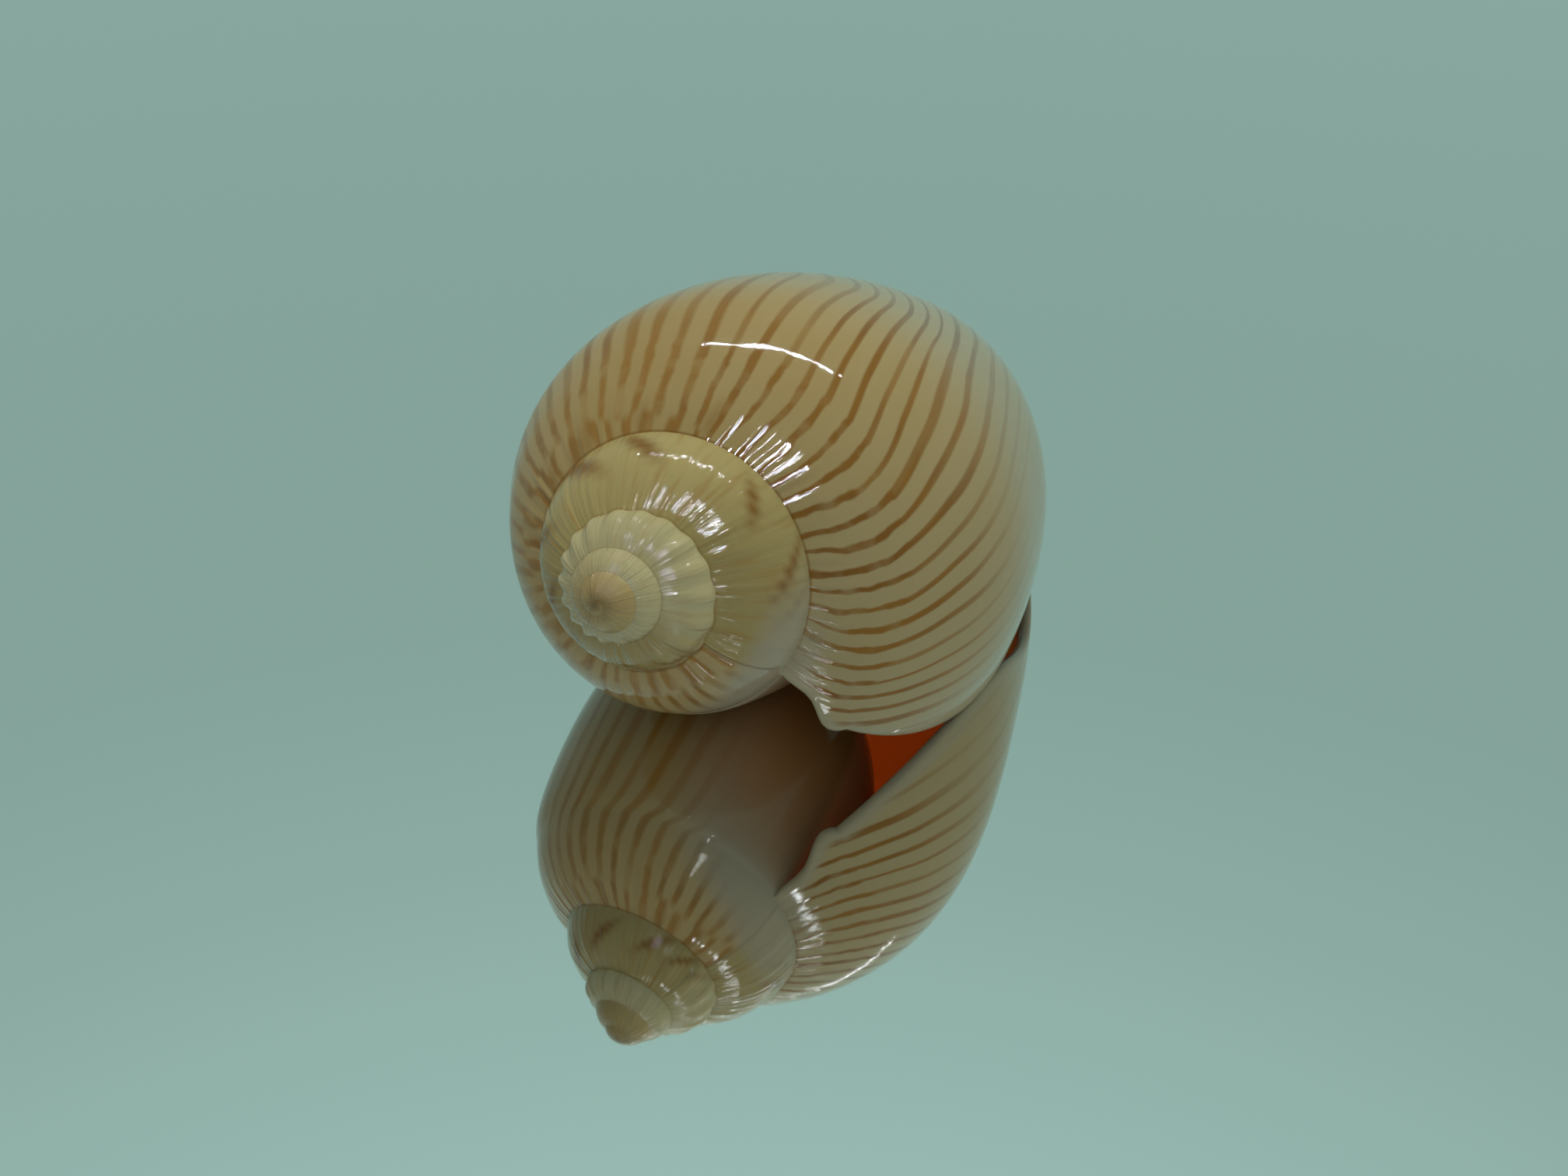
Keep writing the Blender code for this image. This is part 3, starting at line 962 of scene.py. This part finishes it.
@dataclass(frozen=True)
class ShellFinish:
    """What skin and lining share: colour masks, growth lines, gloss, and light that seeps in.

    The mask Inside is 1 on the lip in the skin, and 1 far in the hollow in the lining.
    """

    name: str
    roughness: float
    bump: float
    seep: float
    seep_radius: Colour
    seep_scale: float
    gloss: float = 0.24
    uneven: float = 0.06

    def begin(self, lines: bpy.types.NodeTree) -> tuple[
            bpy.types.Material, NodeBench, dict[str, Socket]]:
        """Start the material, with all but its colour.

        Args:
            lines: the growth line group.

        Returns:
            The material, a bench on it, and by name the values that its colour is made from.
        """
        material = bpy.data.materials.new(self.name)
        material.use_nodes = True
        bench = NodeBench(material.node_tree)
        shader = material.node_tree.nodes["Principled BSDF"]
        growth = bench.node("ShaderNodeUVMap", uv_map="growth")
        apart = bench.node("ShaderNodeSeparateXYZ")
        bench.feed(apart.inputs[0], growth.outputs[0])
        wash = bench.node("ShaderNodeVertexColor", layer_name="wash")
        masks = bench.node("ShaderNodeSeparateColor")
        bench.feed(masks.inputs[0], wash.outputs["Color"])
        # The third colour mask is the tan of the first whorls together with the painted warm shade in the
        # mouth.
        given = {"Turn": apart.outputs[0], "Place": apart.outputs[1],
                 "Position": bench.node("ShaderNodeTexCoord").outputs["Object"],
                 "Inside": masks.outputs[0], "Callus": masks.outputs[1], "TanAndShade": masks.outputs[2],
                 "Blotch": wash.outputs["Alpha"]}
        relief = bench.use(lines, given)
        given["Cloud"] = relief.outputs["Cloud"]
        rough = bench.scaled(given["Cloud"], self.uneven, self.roughness - self.uneven / 2.0)
        bench.feed(shader.inputs["Roughness"], rough)
        bump = bench.node("ShaderNodeBump")
        bump.inputs["Distance"].default_value = self.bump
        bump.inputs["Strength"].default_value = 1.0
        bench.feed(bump.inputs["Height"], relief.outputs["Height"])
        bench.feed(shader.inputs["Normal"], bump.outputs["Normal"])
        for key, value in (("Specular IOR Level", self.gloss), ("Subsurface Weight", self.seep),
                           ("Subsurface Radius", self.seep_radius), ("Subsurface Scale", self.seep_scale)):
            shader.inputs[key].default_value = value
        return material, bench, given


@dataclass(frozen=True)
class SkinFinish(ShellFinish):
    """Outer skin: cream ground, brown stripes, yellow and tan upper whorls, pale glaze by the mouth, and
    painted shade on the spire, along the suture and in the mouth.
    """

    name: str = "shell_skin"
    roughness: float = 0.050
    bump: float = 0.00016
    seep: float = 0.20
    seep_radius: Colour = (1.0, 0.6, 0.35)
    seep_scale: float = 0.0012
    ground: Colour = (0.67, 0.545, 0.245)
    ground_pale: Colour = (0.69, 0.585, 0.295)
    stripe: Colour = (0.43, 0.220, 0.026)
    stripe_old: Colour = (0.53, 0.285, 0.042)
    stripe_dark: Colour = (0.33, 0.152, 0.014)
    fresh: Colour = (0.62, 0.575, 0.33)
    spire: Colour = (0.72, 0.66, 0.31)
    # Darker yellow: painted shade on the spire's side next to the last whorl, and the darker older whorls.
    spire_dark: Colour = (0.47, 0.42, 0.18)
    knobs: Colour = (0.77, 0.78, 0.48)
    tan: Colour = (0.60, 0.44, 0.18)
    callus: Colour = (0.56, 0.565, 0.43)
    # Brown of the painted warm shade on the glaze in the mouth.
    warm: Colour = (0.60, 0.28, 0.08)
    lip: Colour = (0.60, 0.60, 0.42)
    old_turns: tuple[float, float] = (-0.46, -0.22)
    old_fade: float = 0.22
    fresh_turns: tuple[float, float] = (-0.36, 0.02)
    late_turns: tuple[float, float] = (-0.17, -0.05)
    late_places: tuple[float, float] = (1.02, 1.20)
    late_fade: float = 0.82
    body_blotch: float = 0.42
    spire_blotch: float = 0.92
    painted_shade_spire_turns: tuple[float, float] = (-1.32, -1.16)
    # Turns over which painted shade darkens the spire's side next to the last whorl.
    old_spire_turns: tuple[float, float] = (-1.62, -1.48)
    knob_turns: tuple[float, float] = (-2.10, -1.95)
    # Places and strength of the painted shade in the suture's groove.
    seam_places: tuple[float, float] = (0.006, 0.034)
    suture_shade_share: float = 0.62

    def body_colour(self, bench: NodeBench, given: dict[str, Socket],
                    stripes: bpy.types.NodeTree) -> Socket:
        """Colour of the last whorl: ground, and stripes that fade on older growth and by the lip.

        Args:
            bench: where the nodes go.
            given: values of the surface by name.
            stripes: the stripe pattern group.

        Returns:
            The colour.
        """
        turn, place, cloud = given["Turn"], given["Place"], given["Cloud"]
        old = bench.step(turn, *self.old_turns, 1.0, 0.0)
        ground = bench.mix(bench.step(cloud, 0.35, 0.65), self.ground, self.ground_pale)
        ground = bench.mix(bench.step(turn, *self.fresh_turns), ground, self.fresh)
        stripe = bench.mix(old, self.stripe, self.stripe_old)
        stripe = bench.mix(bench.step(cloud, 0.42, 0.66, 0.0, 0.8), stripe, self.stripe_dark)
        faint = bench.noise(bench.strewn(turn, 31.0, place, 4.0, 2.2), detail=2.0)
        strength = bench.step(faint, 0.30, 0.55, 0.62, 0.96)
        strength = bench.times(strength, bench.scaled(old, -self.old_fade, 1.0))
        late = bench.times(bench.step(turn, *self.late_turns), bench.step(place, *self.late_places))
        strength = bench.times(strength, bench.scaled(late, -self.late_fade, 1.0))
        mask = bench.use(stripes, given).outputs["Stripe"]
        skin = bench.mix(bench.times(mask, strength), ground, stripe)
        return bench.mix(bench.times(given["Blotch"], self.body_blotch), skin, self.stripe)

    def spire_colour(self, bench: NodeBench, given: dict[str, Socket]) -> Socket:
        """Colour of the upper whorls: yellow, darkened by painted shade towards the last whorl, pale knobs,
        tan apex.

        Args:
            bench: where the nodes go.
            given: values of the surface by name.

        Returns:
            The colour.
        """
        turn, cloud = given["Turn"], given["Cloud"]
        streak = bench.noise(bench.strewn(turn, 58.0, given["Place"], 1.0, 5.0), detail=2.0, rough=0.6)
        # Painted shade: the spire's side next to the last whorl, which lies away from the light, is
        # darkened.
        spire_shade = bench.step(turn, *self.painted_shade_spire_turns, 0.0, 0.62)
        upper = bench.mix(spire_shade, self.spire, self.spire_dark)
        upper = bench.mix(bench.step(turn, *self.old_spire_turns, 0.55, 0.0), upper, self.spire_dark)
        upper = bench.mix(bench.step(streak, 0.48, 0.72, 0.0, 0.42), upper, self.stripe_old)
        upper = bench.mix(bench.times(given["Blotch"], self.spire_blotch), upper, self.stripe_dark)
        shade = bench.mix(bench.step(streak, 0.50, 0.8, 0.0, 0.30), self.knobs, self.tan)
        upper = bench.mix(bench.step(turn, *self.knob_turns, 1.0, 0.0), upper, shade)
        apex = bench.mix(bench.step(cloud, 0.3, 0.7), self.tan, self.spire)
        return bench.mix(given["TanAndShade"], upper, apex)

    def build(self, stripes: bpy.types.NodeTree, lines: bpy.types.NodeTree) -> bpy.types.Material:
        """The material of the outer skin.

        Args:
            stripes: the stripe pattern group.
            lines: the growth line group.

        Returns:
            The finished material.
        """
        material, bench, given = self.begin(lines)
        callus = given["Callus"]
        body = bench.step(given["Turn"], *BODY_TURNS)
        colour = bench.mix(body, self.spire_colour(bench, given), self.body_colour(bench, given, stripes))
        veil = bench.times(callus, bench.step(given["Cloud"], 0.2, 0.8, 0.86, 0.99))
        colour = bench.mix(veil, colour, self.callus)
        # Painted warm shade: brown over the glaze on the last whorl, deeper in the mouth where the spire's
        # shadow falls.
        colour = bench.mix(bench.times(bench.times(given["TanAndShade"], body), 0.95), colour, self.warm)
        colour = bench.mix(given["Inside"], colour, self.lip)
        # Painted shade: a dark line in the groove along the suture.
        seam = bench.step(given["Place"], *self.seam_places, self.suture_shade_share, 0.0)
        seam = bench.times(seam, bench.less(1.0, callus))
        seam = bench.times(seam, bench.scaled(body, 0.6, 0.4))
        colour = bench.mix(seam, colour, self.stripe_dark)
        bench.feed(material.node_tree.nodes["Principled BSDF"].inputs["Base Color"], colour)
        return material


@dataclass(frozen=True)
class LiningFinish(ShellFinish):
    """Inside of the shell: pale glossy edge, then orange; pale glaze on the columella, browned by painted
    warm shade deeper in the mouth.
    """

    name: str = "shell_lining"
    roughness: float = 0.08
    bump: float = 0.00004
    seep: float = 0.9
    seep_radius: Colour = (1.0, 0.64, 0.50)
    seep_scale: float = 0.0050
    edge: Colour = (0.60, 0.60, 0.42)
    orange: Colour = (0.97, 0.43, 0.21)
    deep: Colour = (0.97, 0.41, 0.20)
    pale: Colour = (0.54, 0.53, 0.40)
    # Brown of the painted warm shade on the columella's glaze.
    warm: Colour = (0.60, 0.28, 0.08)

    def build(self, lines: bpy.types.NodeTree) -> bpy.types.Material:
        """The material of the lining and the columella.

        Args:
            lines: the growth line group.

        Returns:
            The finished material.
        """
        material, bench, given = self.begin(lines)
        inside = given["Inside"]
        colour = bench.mix(bench.step(inside, 0.04, 0.42), self.edge, self.orange)
        colour = bench.mix(bench.step(inside, 0.45, 1.0), colour, self.deep)
        veil = bench.times(given["Callus"], bench.step(given["Cloud"], 0.2, 0.8, 0.85, 1.0))
        # Painted warm shade: the glaze turns brown deeper in the mouth.
        glaze = bench.mix(bench.times(given["TanAndShade"], 0.95), self.pale, self.warm)
        colour = bench.mix(veil, colour, glaze)
        bench.feed(material.node_tree.nodes["Principled BSDF"].inputs["Base Color"], colour)
        return material


@dataclass
class Shell:
    """The whole shell: spire, last whorl, rounded lip, hollow, columella and mouth as one closed skin."""

    form: GrowthForm = field(default_factory=GrowthForm)
    pose: RestingPose = field(default_factory=RestingPose)
    wash: Wash = field(default_factory=Wash)
    skin_finish: SkinFinish = field(default_factory=SkinFinish)
    lining_finish: LiningFinish = field(default_factory=LiningFinish)
    steps_per_turn: int = 360
    band_steps: int = 15
    lower_steps: int = 52
    hollow_steps: int = 190
    mouth_steps: int = 24
    tip_steps: int = 5
    rim_steps: int = 5
    rim_reach: float = 0.5
    rim_least_radius: float = 3.0
    seam_reach: float = 0.08
    lip_edge: float = -0.010
    deep_turns: float = 0.30
    deep_power: float = 0.6

    def band_places(self) -> Array:
        """Places from suture to join, closer together at both seams by half a cosine."""
        return 0.5 - 0.5 * np.cos(np.linspace(0.0, math.pi, self.band_steps + 1))

    def lower_places(self) -> Array:
        """Places from join to tip; the corner and the base are among them.

        Returns:
            The places, rising.
        """
        corner = np.linspace(1.0, self.form.corner, self.rim_steps + 2)
        middle = np.linspace(self.form.corner, self.form.base, self.lower_steps + 1)
        tip = np.linspace(self.form.base, 2.0, self.tip_steps + 1)
        return np.concatenate([corner[:-1], middle, tip[1:]])

    def masks(self, t: Array, v: Array, lip: Array | float) -> Array:
        """Colour masks of the skin: pale edge of the lip, callus, tan of the first whorls with painted warm
        shade by the mouth, blotches.

        Args:
            t: turns of growth.
            v: places down the outline, of t's shape.
            lip: mask of the lip's pale edge.

        Returns:
            Four masks per point.
        """
        wash = self.wash
        edge = np.broadcast_to(lip, t.shape)
        return np.stack([edge, wash.callus(t, v), wash.tan_and_painted_shade(t, v), wash.blotches(t, v)], -1)

    def seam_fade(self, v: Array) -> Array:
        """Share of the lip's rounding: 1 along the lip, 0 at the suture and near the tip."""
        base = self.form.base
        return ease(v, 0.0, self.seam_reach) * (1.0 - ease(v, base, base + self.seam_reach))

    def rim_turns(self, v: Array) -> Array:
        """Turns by which the rounding of the lip starts short of its edge, none at suture and tip.

        Args:
            v: places down the outline.

        Returns:
            The turns, of v's shape.
        """
        radius, _ = self.form.outline(np.zeros_like(v), v)
        back = self.rim_reach / (2.0 * math.pi * np.maximum(radius, self.rim_least_radius))
        return back * self.seam_fade(v)

    def build(self) -> bpy.types.Object:
        """Make and dress the shell.

        Returns:
            The finished object, in the row's frame.
        """
        form = self.form
        patches = SurfacePatches()
        band = self.band_places()
        down = self.lower_places()
        whole = np.concatenate([band, down[1:]])
        spire_rows = int(round((-1.0 - form.first_turn) * self.steps_per_turn)) + 1
        rows = np.linspace(form.first_turn, -1.0, spire_rows)
        turns, places = np.meshgrid(rows, band, indexing="ij")
        masks = self.masks(turns, places, 0.0)
        patches.add(form.skin(turns, places), turns, places, masks, Face.SKIN)

        edge = form.lip_curve(whole) - self.rim_turns(whole)
        share = np.linspace(0.0, 1.0, self.steps_per_turn + 1)[:, None]
        turns = -1.0 + share * (1.0 + edge[None, :])
        places = np.broadcast_to(whole, turns.shape)
        lip = ease(turns - edge[None, :], self.lip_edge, 0.0)
        masks = self.masks(turns, places, lip)
        last = patches.add(form.skin(turns, places), turns, places, masks, Face.SKIN)
        outer_edge = form.skin(edge, whole)

        depth_share = np.linspace(0.0, 1.0, self.hollow_steps + 1)[:, None]
        turns = form.hollow_turn + depth_share * (edge[None, :] - form.hollow_turn)
        places = np.broadcast_to(whole, turns.shape)
        inside = self.deepness(edge[None, :] - turns)
        masks = self.inner_masks(turns, inside)
        inner = patches.add(form.lining(turns, places), turns, places, masks, Face.LINING)
        inner_edge = form.lining(edge, whole)

        rim = self.add_rim(patches, whole, edge, outer_edge, inner_edge)
        self.add_columella(patches, down, depth_share, last, inner, rim)
        return patches.build("shell_skin", self.pose, StripeCourse(), self.finishes())

    @staticmethod
    def inner_masks(t: Array, inside: Array) -> Array:
        """Masks of the lining: how far inside, and no callus on the wall itself."""
        none = np.zeros_like(t)
        return np.stack([inside, none, none, none], -1)

    def add_rim(self, patches: SurfacePatches, whole: Array, edge: Array, outer: Array,
                inner: Array) -> Array:
        """Round the lip: half an ellipse from the outer to the inner edge, bulging along the growth.

        Args:
            patches: where the grid goes.
            whole: places of the edge.
            edge: turns of the edge.
            outer: outer edge points.
            inner: inner edge points.

        Returns:
            The index of each point of the rim.
        """
        form = self.form
        angle = np.linspace(0.0, math.pi, self.rim_steps + 2)[:, None, None]
        step = 1e-3
        ahead = form.skin(edge + step, whole) - form.skin(edge, whole)
        ahead /= np.maximum(np.linalg.norm(ahead, axis=-1, keepdims=True), 1e-9)
        fade = self.seam_fade(whole)[None, :, None]
        middle = 0.5 * (outer + inner)[None]
        half = 0.5 * (outer - inner)[None]
        round_off = middle + half * np.cos(angle) + ahead[None] * (self.rim_reach * np.sin(angle) * fade)
        straight = outer[None] + (inner - outer)[None] * (angle / math.pi)
        rim = round_off * fade + straight * (1.0 - fade)
        rim[:, 0] = form.skin(-1.0, np.linspace(1.0, form.corner, self.rim_steps + 2))
        rim = rim[:, :-1]
        turns = np.broadcast_to(edge[:-1], rim.shape[:2])
        places = np.broadcast_to(whole[:-1], rim.shape[:2])
        return patches.add(rim, turns, places, self.masks(turns, places, 1.0), Face.SKIN)

    def add_columella(self, patches: SurfacePatches, down: Array, depth_share: Array, last: Array,
                      inner: Array, rim: Array) -> None:
        """Columella inside, the mouth's inner side, the cap far inside and the tip.

        Args:
            patches: where the grids go.
            down: places from join to tip.
            depth_share: rows of the hollow, 0 deep inside to 1 at the lip.
            last: indices of the last whorl's grid.
            inner: indices of the lining's grid.
            rim: indices of the lip's rounding.
        """
        form = self.form
        first = self.rim_steps + 1
        base = first + self.lower_steps
        wall = down[first:base + 1]
        slant = form.notch_turn * (wall - form.corner) / (form.base - form.corner)
        turns = -1.0 + form.hollow_turn + depth_share * (slant[None, :] - form.hollow_turn)
        places = np.broadcast_to(wall, turns.shape)
        away = self.glow(turns, places, slant[None, :])
        masks = self.core_masks(turns, places, away)
        core = patches.add(form.skin(turns, places), turns, places, masks, Face.LINING)
        mouth_places = down[first:]
        mouth_slant = np.concatenate([slant, np.full(len(mouth_places) - len(slant), form.notch_turn)])
        share = np.linspace(0.0, 1.0, self.mouth_steps + 1)[:, None]
        turns = -1.0 + mouth_slant[None, :] * (1.0 - share)
        places = np.broadcast_to(mouth_places, turns.shape)
        away = self.glow(turns, places, mouth_slant[None, :])
        masks = self.core_masks(turns, places, away)
        mouth = patches.add(form.skin(turns, places), turns, places, masks, Face.LINING)
        self.add_cap(patches, inner[0], core[0])
        tip = [last[-1, -2]] + mouth[0, ::-1][: len(mouth_places) - len(wall) + 1].tolist()
        patches.close(tip + [inner[-1, -2]] + rim[-2:0:-1, -1].tolist(), Face.LINING)

    def deepness(self, back: Array) -> Array:
        """How far inside a point is, by the turns it lies behind the edge: a smooth step to a power."""
        return ease(back, 0.0, self.deep_turns) ** self.deep_power

    def glow(self, t: Array, v: Array, slant: Array) -> Array:
        """Share of the lining's colour on the columella: sudden high up, slow in the front half."""
        sudden = ease(-1.0 - t, -0.012, 0.024) * (1.0 - ease(v, 1.42, 1.62))
        return np.maximum(sudden, self.deepness(-1.0 + slant - t))

    def core_masks(self, t: Array, v: Array, away: Array) -> Array:
        """Masks of the columella: glaze in sight, the lining's colour far inside, painted warm shade deeper
        in the mouth.
        """
        glaze = 1.0 - ease(away, 0.15, 0.85)
        return np.stack([away, glaze, self.wash.tan_and_painted_shade(t, v), np.zeros_like(t)], -1)

    @staticmethod
    def add_cap(patches: SurfacePatches, wall: Array, core: Array) -> None:
        """Close the hollow far inside with triangles between the wall's and the columella's lines,
        each time a step along the line that is less far on.

        Args:
            patches: where the triangles go.
            wall: indices of the wall's points.
            core: indices of the columella's points.
        """
        i = j = 0
        walls, cores = len(wall) - 1, len(core) - 1
        while i < walls or j < cores:
            if j == cores or (i < walls and (i + 1) / walls <= (j + 1) / cores):
                patches.close([wall[i], wall[i + 1], core[j]], Face.LINING)
                i += 1
            else:
                patches.close([wall[i], core[j + 1], core[j]], Face.LINING)
                j += 1

    def finishes(self) -> list[bpy.types.Material]:
        """Skin and lining materials, sharing the growth lines."""
        lines = GrowthLines().build()
        return [self.skin_finish.build(StripePattern().build(), lines), self.lining_finish.build(lines)]


@dataclass(frozen=True)
class FloorFinish:
    """Polished plate that mirrors the shell and the pale room, with hardly a colour of its own."""

    colour: Colour = (0.85, 0.85, 0.83)
    roughness: float = 0.02
    cloud_scale: float = 8.0

    def build(self) -> bpy.types.Material:
        """The floor's material, with a trace of unevenness in its gloss.

        Returns:
            The finished material.
        """
        material = bpy.data.materials.new("polished_floor")
        material.use_nodes = True
        bench = NodeBench(material.node_tree)
        shader = material.node_tree.nodes["Principled BSDF"]
        where = bench.node("ShaderNodeTexCoord").outputs["Object"]
        shader.inputs["Base Color"].default_value = (*self.colour, 1.0)
        shader.inputs["Metallic"].default_value = 1.0
        cloud = bench.noise(where, self.cloud_scale, 2.0)
        bench.feed(shader.inputs["Roughness"], bench.times(cloud, self.roughness * 2.0))
        return material


@dataclass
class Studio:
    """Floor, pale surroundings, lamps and camera."""

    floor_half: float = 3.0
    sky_low: Colour = (0.272, 0.426, 0.384)
    sky_high: Colour = (0.411, 0.640, 0.600)
    sky_rise: tuple[float, float] = (0.50, 1.0)
    room_tone: Colour = (0.112, 0.103, 0.078)
    glint: Colour = (0.90, 0.95, 1.0)
    warm: Colour = (1.0, 0.89, 0.73)
    pale: Colour = (1.0, 0.95, 0.78)
    mirror_share: float = 0.14
    aim: tuple[float, float, float] = (0.0, 0.0, 0.015)
    sensor: float = 36.0
    near_clip: float = 0.005
    lens: float = 34.82
    pitch: float = 31.98
    roll: float = 1.50
    yaw: float = 19.58
    eye: tuple[float, float, float] = (0.037593, -0.117048, 0.076752)

    def floor(self) -> bpy.types.Object:
        """A plain level plate under the shell.

        Returns:
            The plate.
        """
        h = self.floor_half
        mesh = bpy.data.meshes.new("floor")
        mesh.from_pydata([(-h, -h, 0.0), (h, -h, 0.0), (h, h, 0.0), (-h, h, 0.0)], [], [(0, 1, 2, 3)])
        mesh.materials.append(FloorFinish().build())
        plate = bpy.data.objects.new("floor", mesh)
        bpy.context.scene.collection.objects.link(plate)
        return plate

    def surroundings(self) -> None:
        """Pale blue green room, lighter overhead by a smooth step on the direction's height.  Gloss
        and the floor show it; soft light from it is warmer and dimmer."""
        world = bpy.data.worlds.new("studio")
        bpy.context.scene.world = world
        world.use_nodes = True
        bench = NodeBench(world.node_tree)
        direction = bench.node("ShaderNodeTexCoord").outputs["Generated"]
        apart = bench.node("ShaderNodeSeparateXYZ")
        bench.feed(apart.inputs[0], direction)
        share = bench.step(apart.outputs[2], *self.sky_rise)
        seen = bench.mix(share, self.sky_low, self.sky_high)
        path = bench.node("ShaderNodeLightPath").outputs
        shown = bench.math("MAXIMUM", path["Is Camera Ray"], path["Is Glossy Ray"])
        shown = bench.times(shown, bench.math("LESS_THAN", path["Diffuse Depth"], 0.5))
        tone = bench.mix(shown, self.room_tone, seen)
        bench.feed(world.node_tree.nodes["Background"].inputs["Color"], tone)

    def lamp(self, name: str, size: tuple[float, float], energy: float, colour: Colour,
             ends: tuple[tuple[float, float, float], tuple[float, float, float]],
             gloss: bool = True, soft: bool = True) -> bpy.types.Object:
        """A rectangular lamp whose long side runs from one end to the other, facing the shell.

        Args:
            name: name of the lamp.
            size: length and width in metres.
            energy: power in watts.
            colour: colour of the light.
            ends: two points that give its middle and the direction of its length.
            gloss: whether gloss and the floor show it.
            soft: whether it lights surfaces softly; if not, it makes glints, and the mirror throws
                only a share of its light on.

        Returns:
            The lamp.
        """
        light = bpy.data.lights.new(name, "AREA")
        light.shape = "RECTANGLE"
        light.size, light.size_y = size
        light.energy = energy
        light.color = colour
        thing = bpy.data.objects.new(name, light)
        bpy.context.scene.collection.objects.link(thing)
        first, last = Vector(ends[0]), Vector(ends[1])
        middle = (first + last) / 2.0
        back = (middle - Vector(self.aim)).normalized()
        along = last - first
        along = (along - back * along.dot(back)).normalized()
        turn = Matrix((along, back.cross(along), back)).transposed().to_4x4()
        thing.matrix_world = Matrix.Translation(middle) @ turn
        thing.visible_glossy = gloss
        thing.visible_diffuse = soft
        if not soft:
            light.use_nodes = True
            bench = NodeBench(light.node_tree)
            depth = bench.node("ShaderNodeLightPath").outputs["Diffuse Depth"]
            strength = bench.step(depth, 0.0, 1.0, 1.0, self.mirror_share)
            bench.feed(light.node_tree.nodes["Emission"].inputs["Strength"], strength)
        return thing

    def lamps(self) -> None:
        """Glints of a thin lamp overhead and one by the camera, soft light of three panels."""
        self.lamp("overhead_tube", (0.84, 0.010), 4.2, self.glint,
                  ((-0.40, 0.25, 1.0), (0.44, 0.30, 1.0)), soft=False)
        self.lamp("camera_side", (0.290, 0.022), 4.2, self.glint,
                  ((0.147, -0.481, 0.327), (0.237, -0.273, 0.479)), soft=False)
        self.lamp("ceiling_panel", (1.1, 0.9), 6.1, self.warm,
                  ((-0.80, 0.30, 1.3), (0.30, 0.30, 1.3)), gloss=False)
        self.lamp("right_panel", (0.5, 0.4), 1.2, self.pale,
                  ((0.85, 0.10, 0.25), (0.85, 0.50, 0.25)), gloss=False)
        self.lamp("front_panel", (0.6, 0.4), 0.8, self.warm,
                  ((-0.10, -0.70, 0.55), (0.50, -0.70, 0.55)), gloss=False)

    def camera(self) -> bpy.types.Object:
        """Camera at the photograph's viewing angle: turned by yaw, pitched down, rolled about its view.

        Returns:
            The camera.
        """
        data = bpy.data.cameras.new("camera")
        data.sensor_width = self.sensor
        data.lens = self.lens
        data.clip_start = self.near_clip
        thing = bpy.data.objects.new("camera", data)
        bpy.context.scene.collection.objects.link(thing)
        yaw, pitch, roll = (math.radians(a) for a in (self.yaw, self.pitch, self.roll))
        level = Vector((-math.sin(yaw), math.cos(yaw), 0.0))
        right = Vector((math.cos(yaw), math.sin(yaw), 0.0))
        ahead = level * math.cos(pitch) + Vector((0.0, 0.0, -math.sin(pitch)))
        above = level * math.sin(pitch) + Vector((0.0, 0.0, math.cos(pitch)))
        across = right * math.cos(roll) + above * math.sin(roll)
        upward = above * math.cos(roll) - right * math.sin(roll)
        turn = Matrix((across, upward, -ahead)).transposed().to_4x4()
        thing.matrix_world = Matrix.Translation(Vector(self.eye)) @ turn
        bpy.context.scene.camera = thing
        return thing


def main() -> None:
    """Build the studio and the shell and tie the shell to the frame."""
    logging.basicConfig(level=logging.INFO, format="%(name)s %(message)s")
    studio = Studio()
    studio.camera()
    studio.surroundings()
    studio.lamps()
    studio.floor()
    LOG.info("studio ready")
    skin = Shell().build()
    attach(skin, "root")
    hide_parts("shell")
    LOG.info("shell skin built: %d vertices", len(skin.data.vertices))
    bpy.context.scene.view_settings.view_transform = "Standard"
    bpy.context.view_layer.update()


if __name__ == "__main__":
    main()
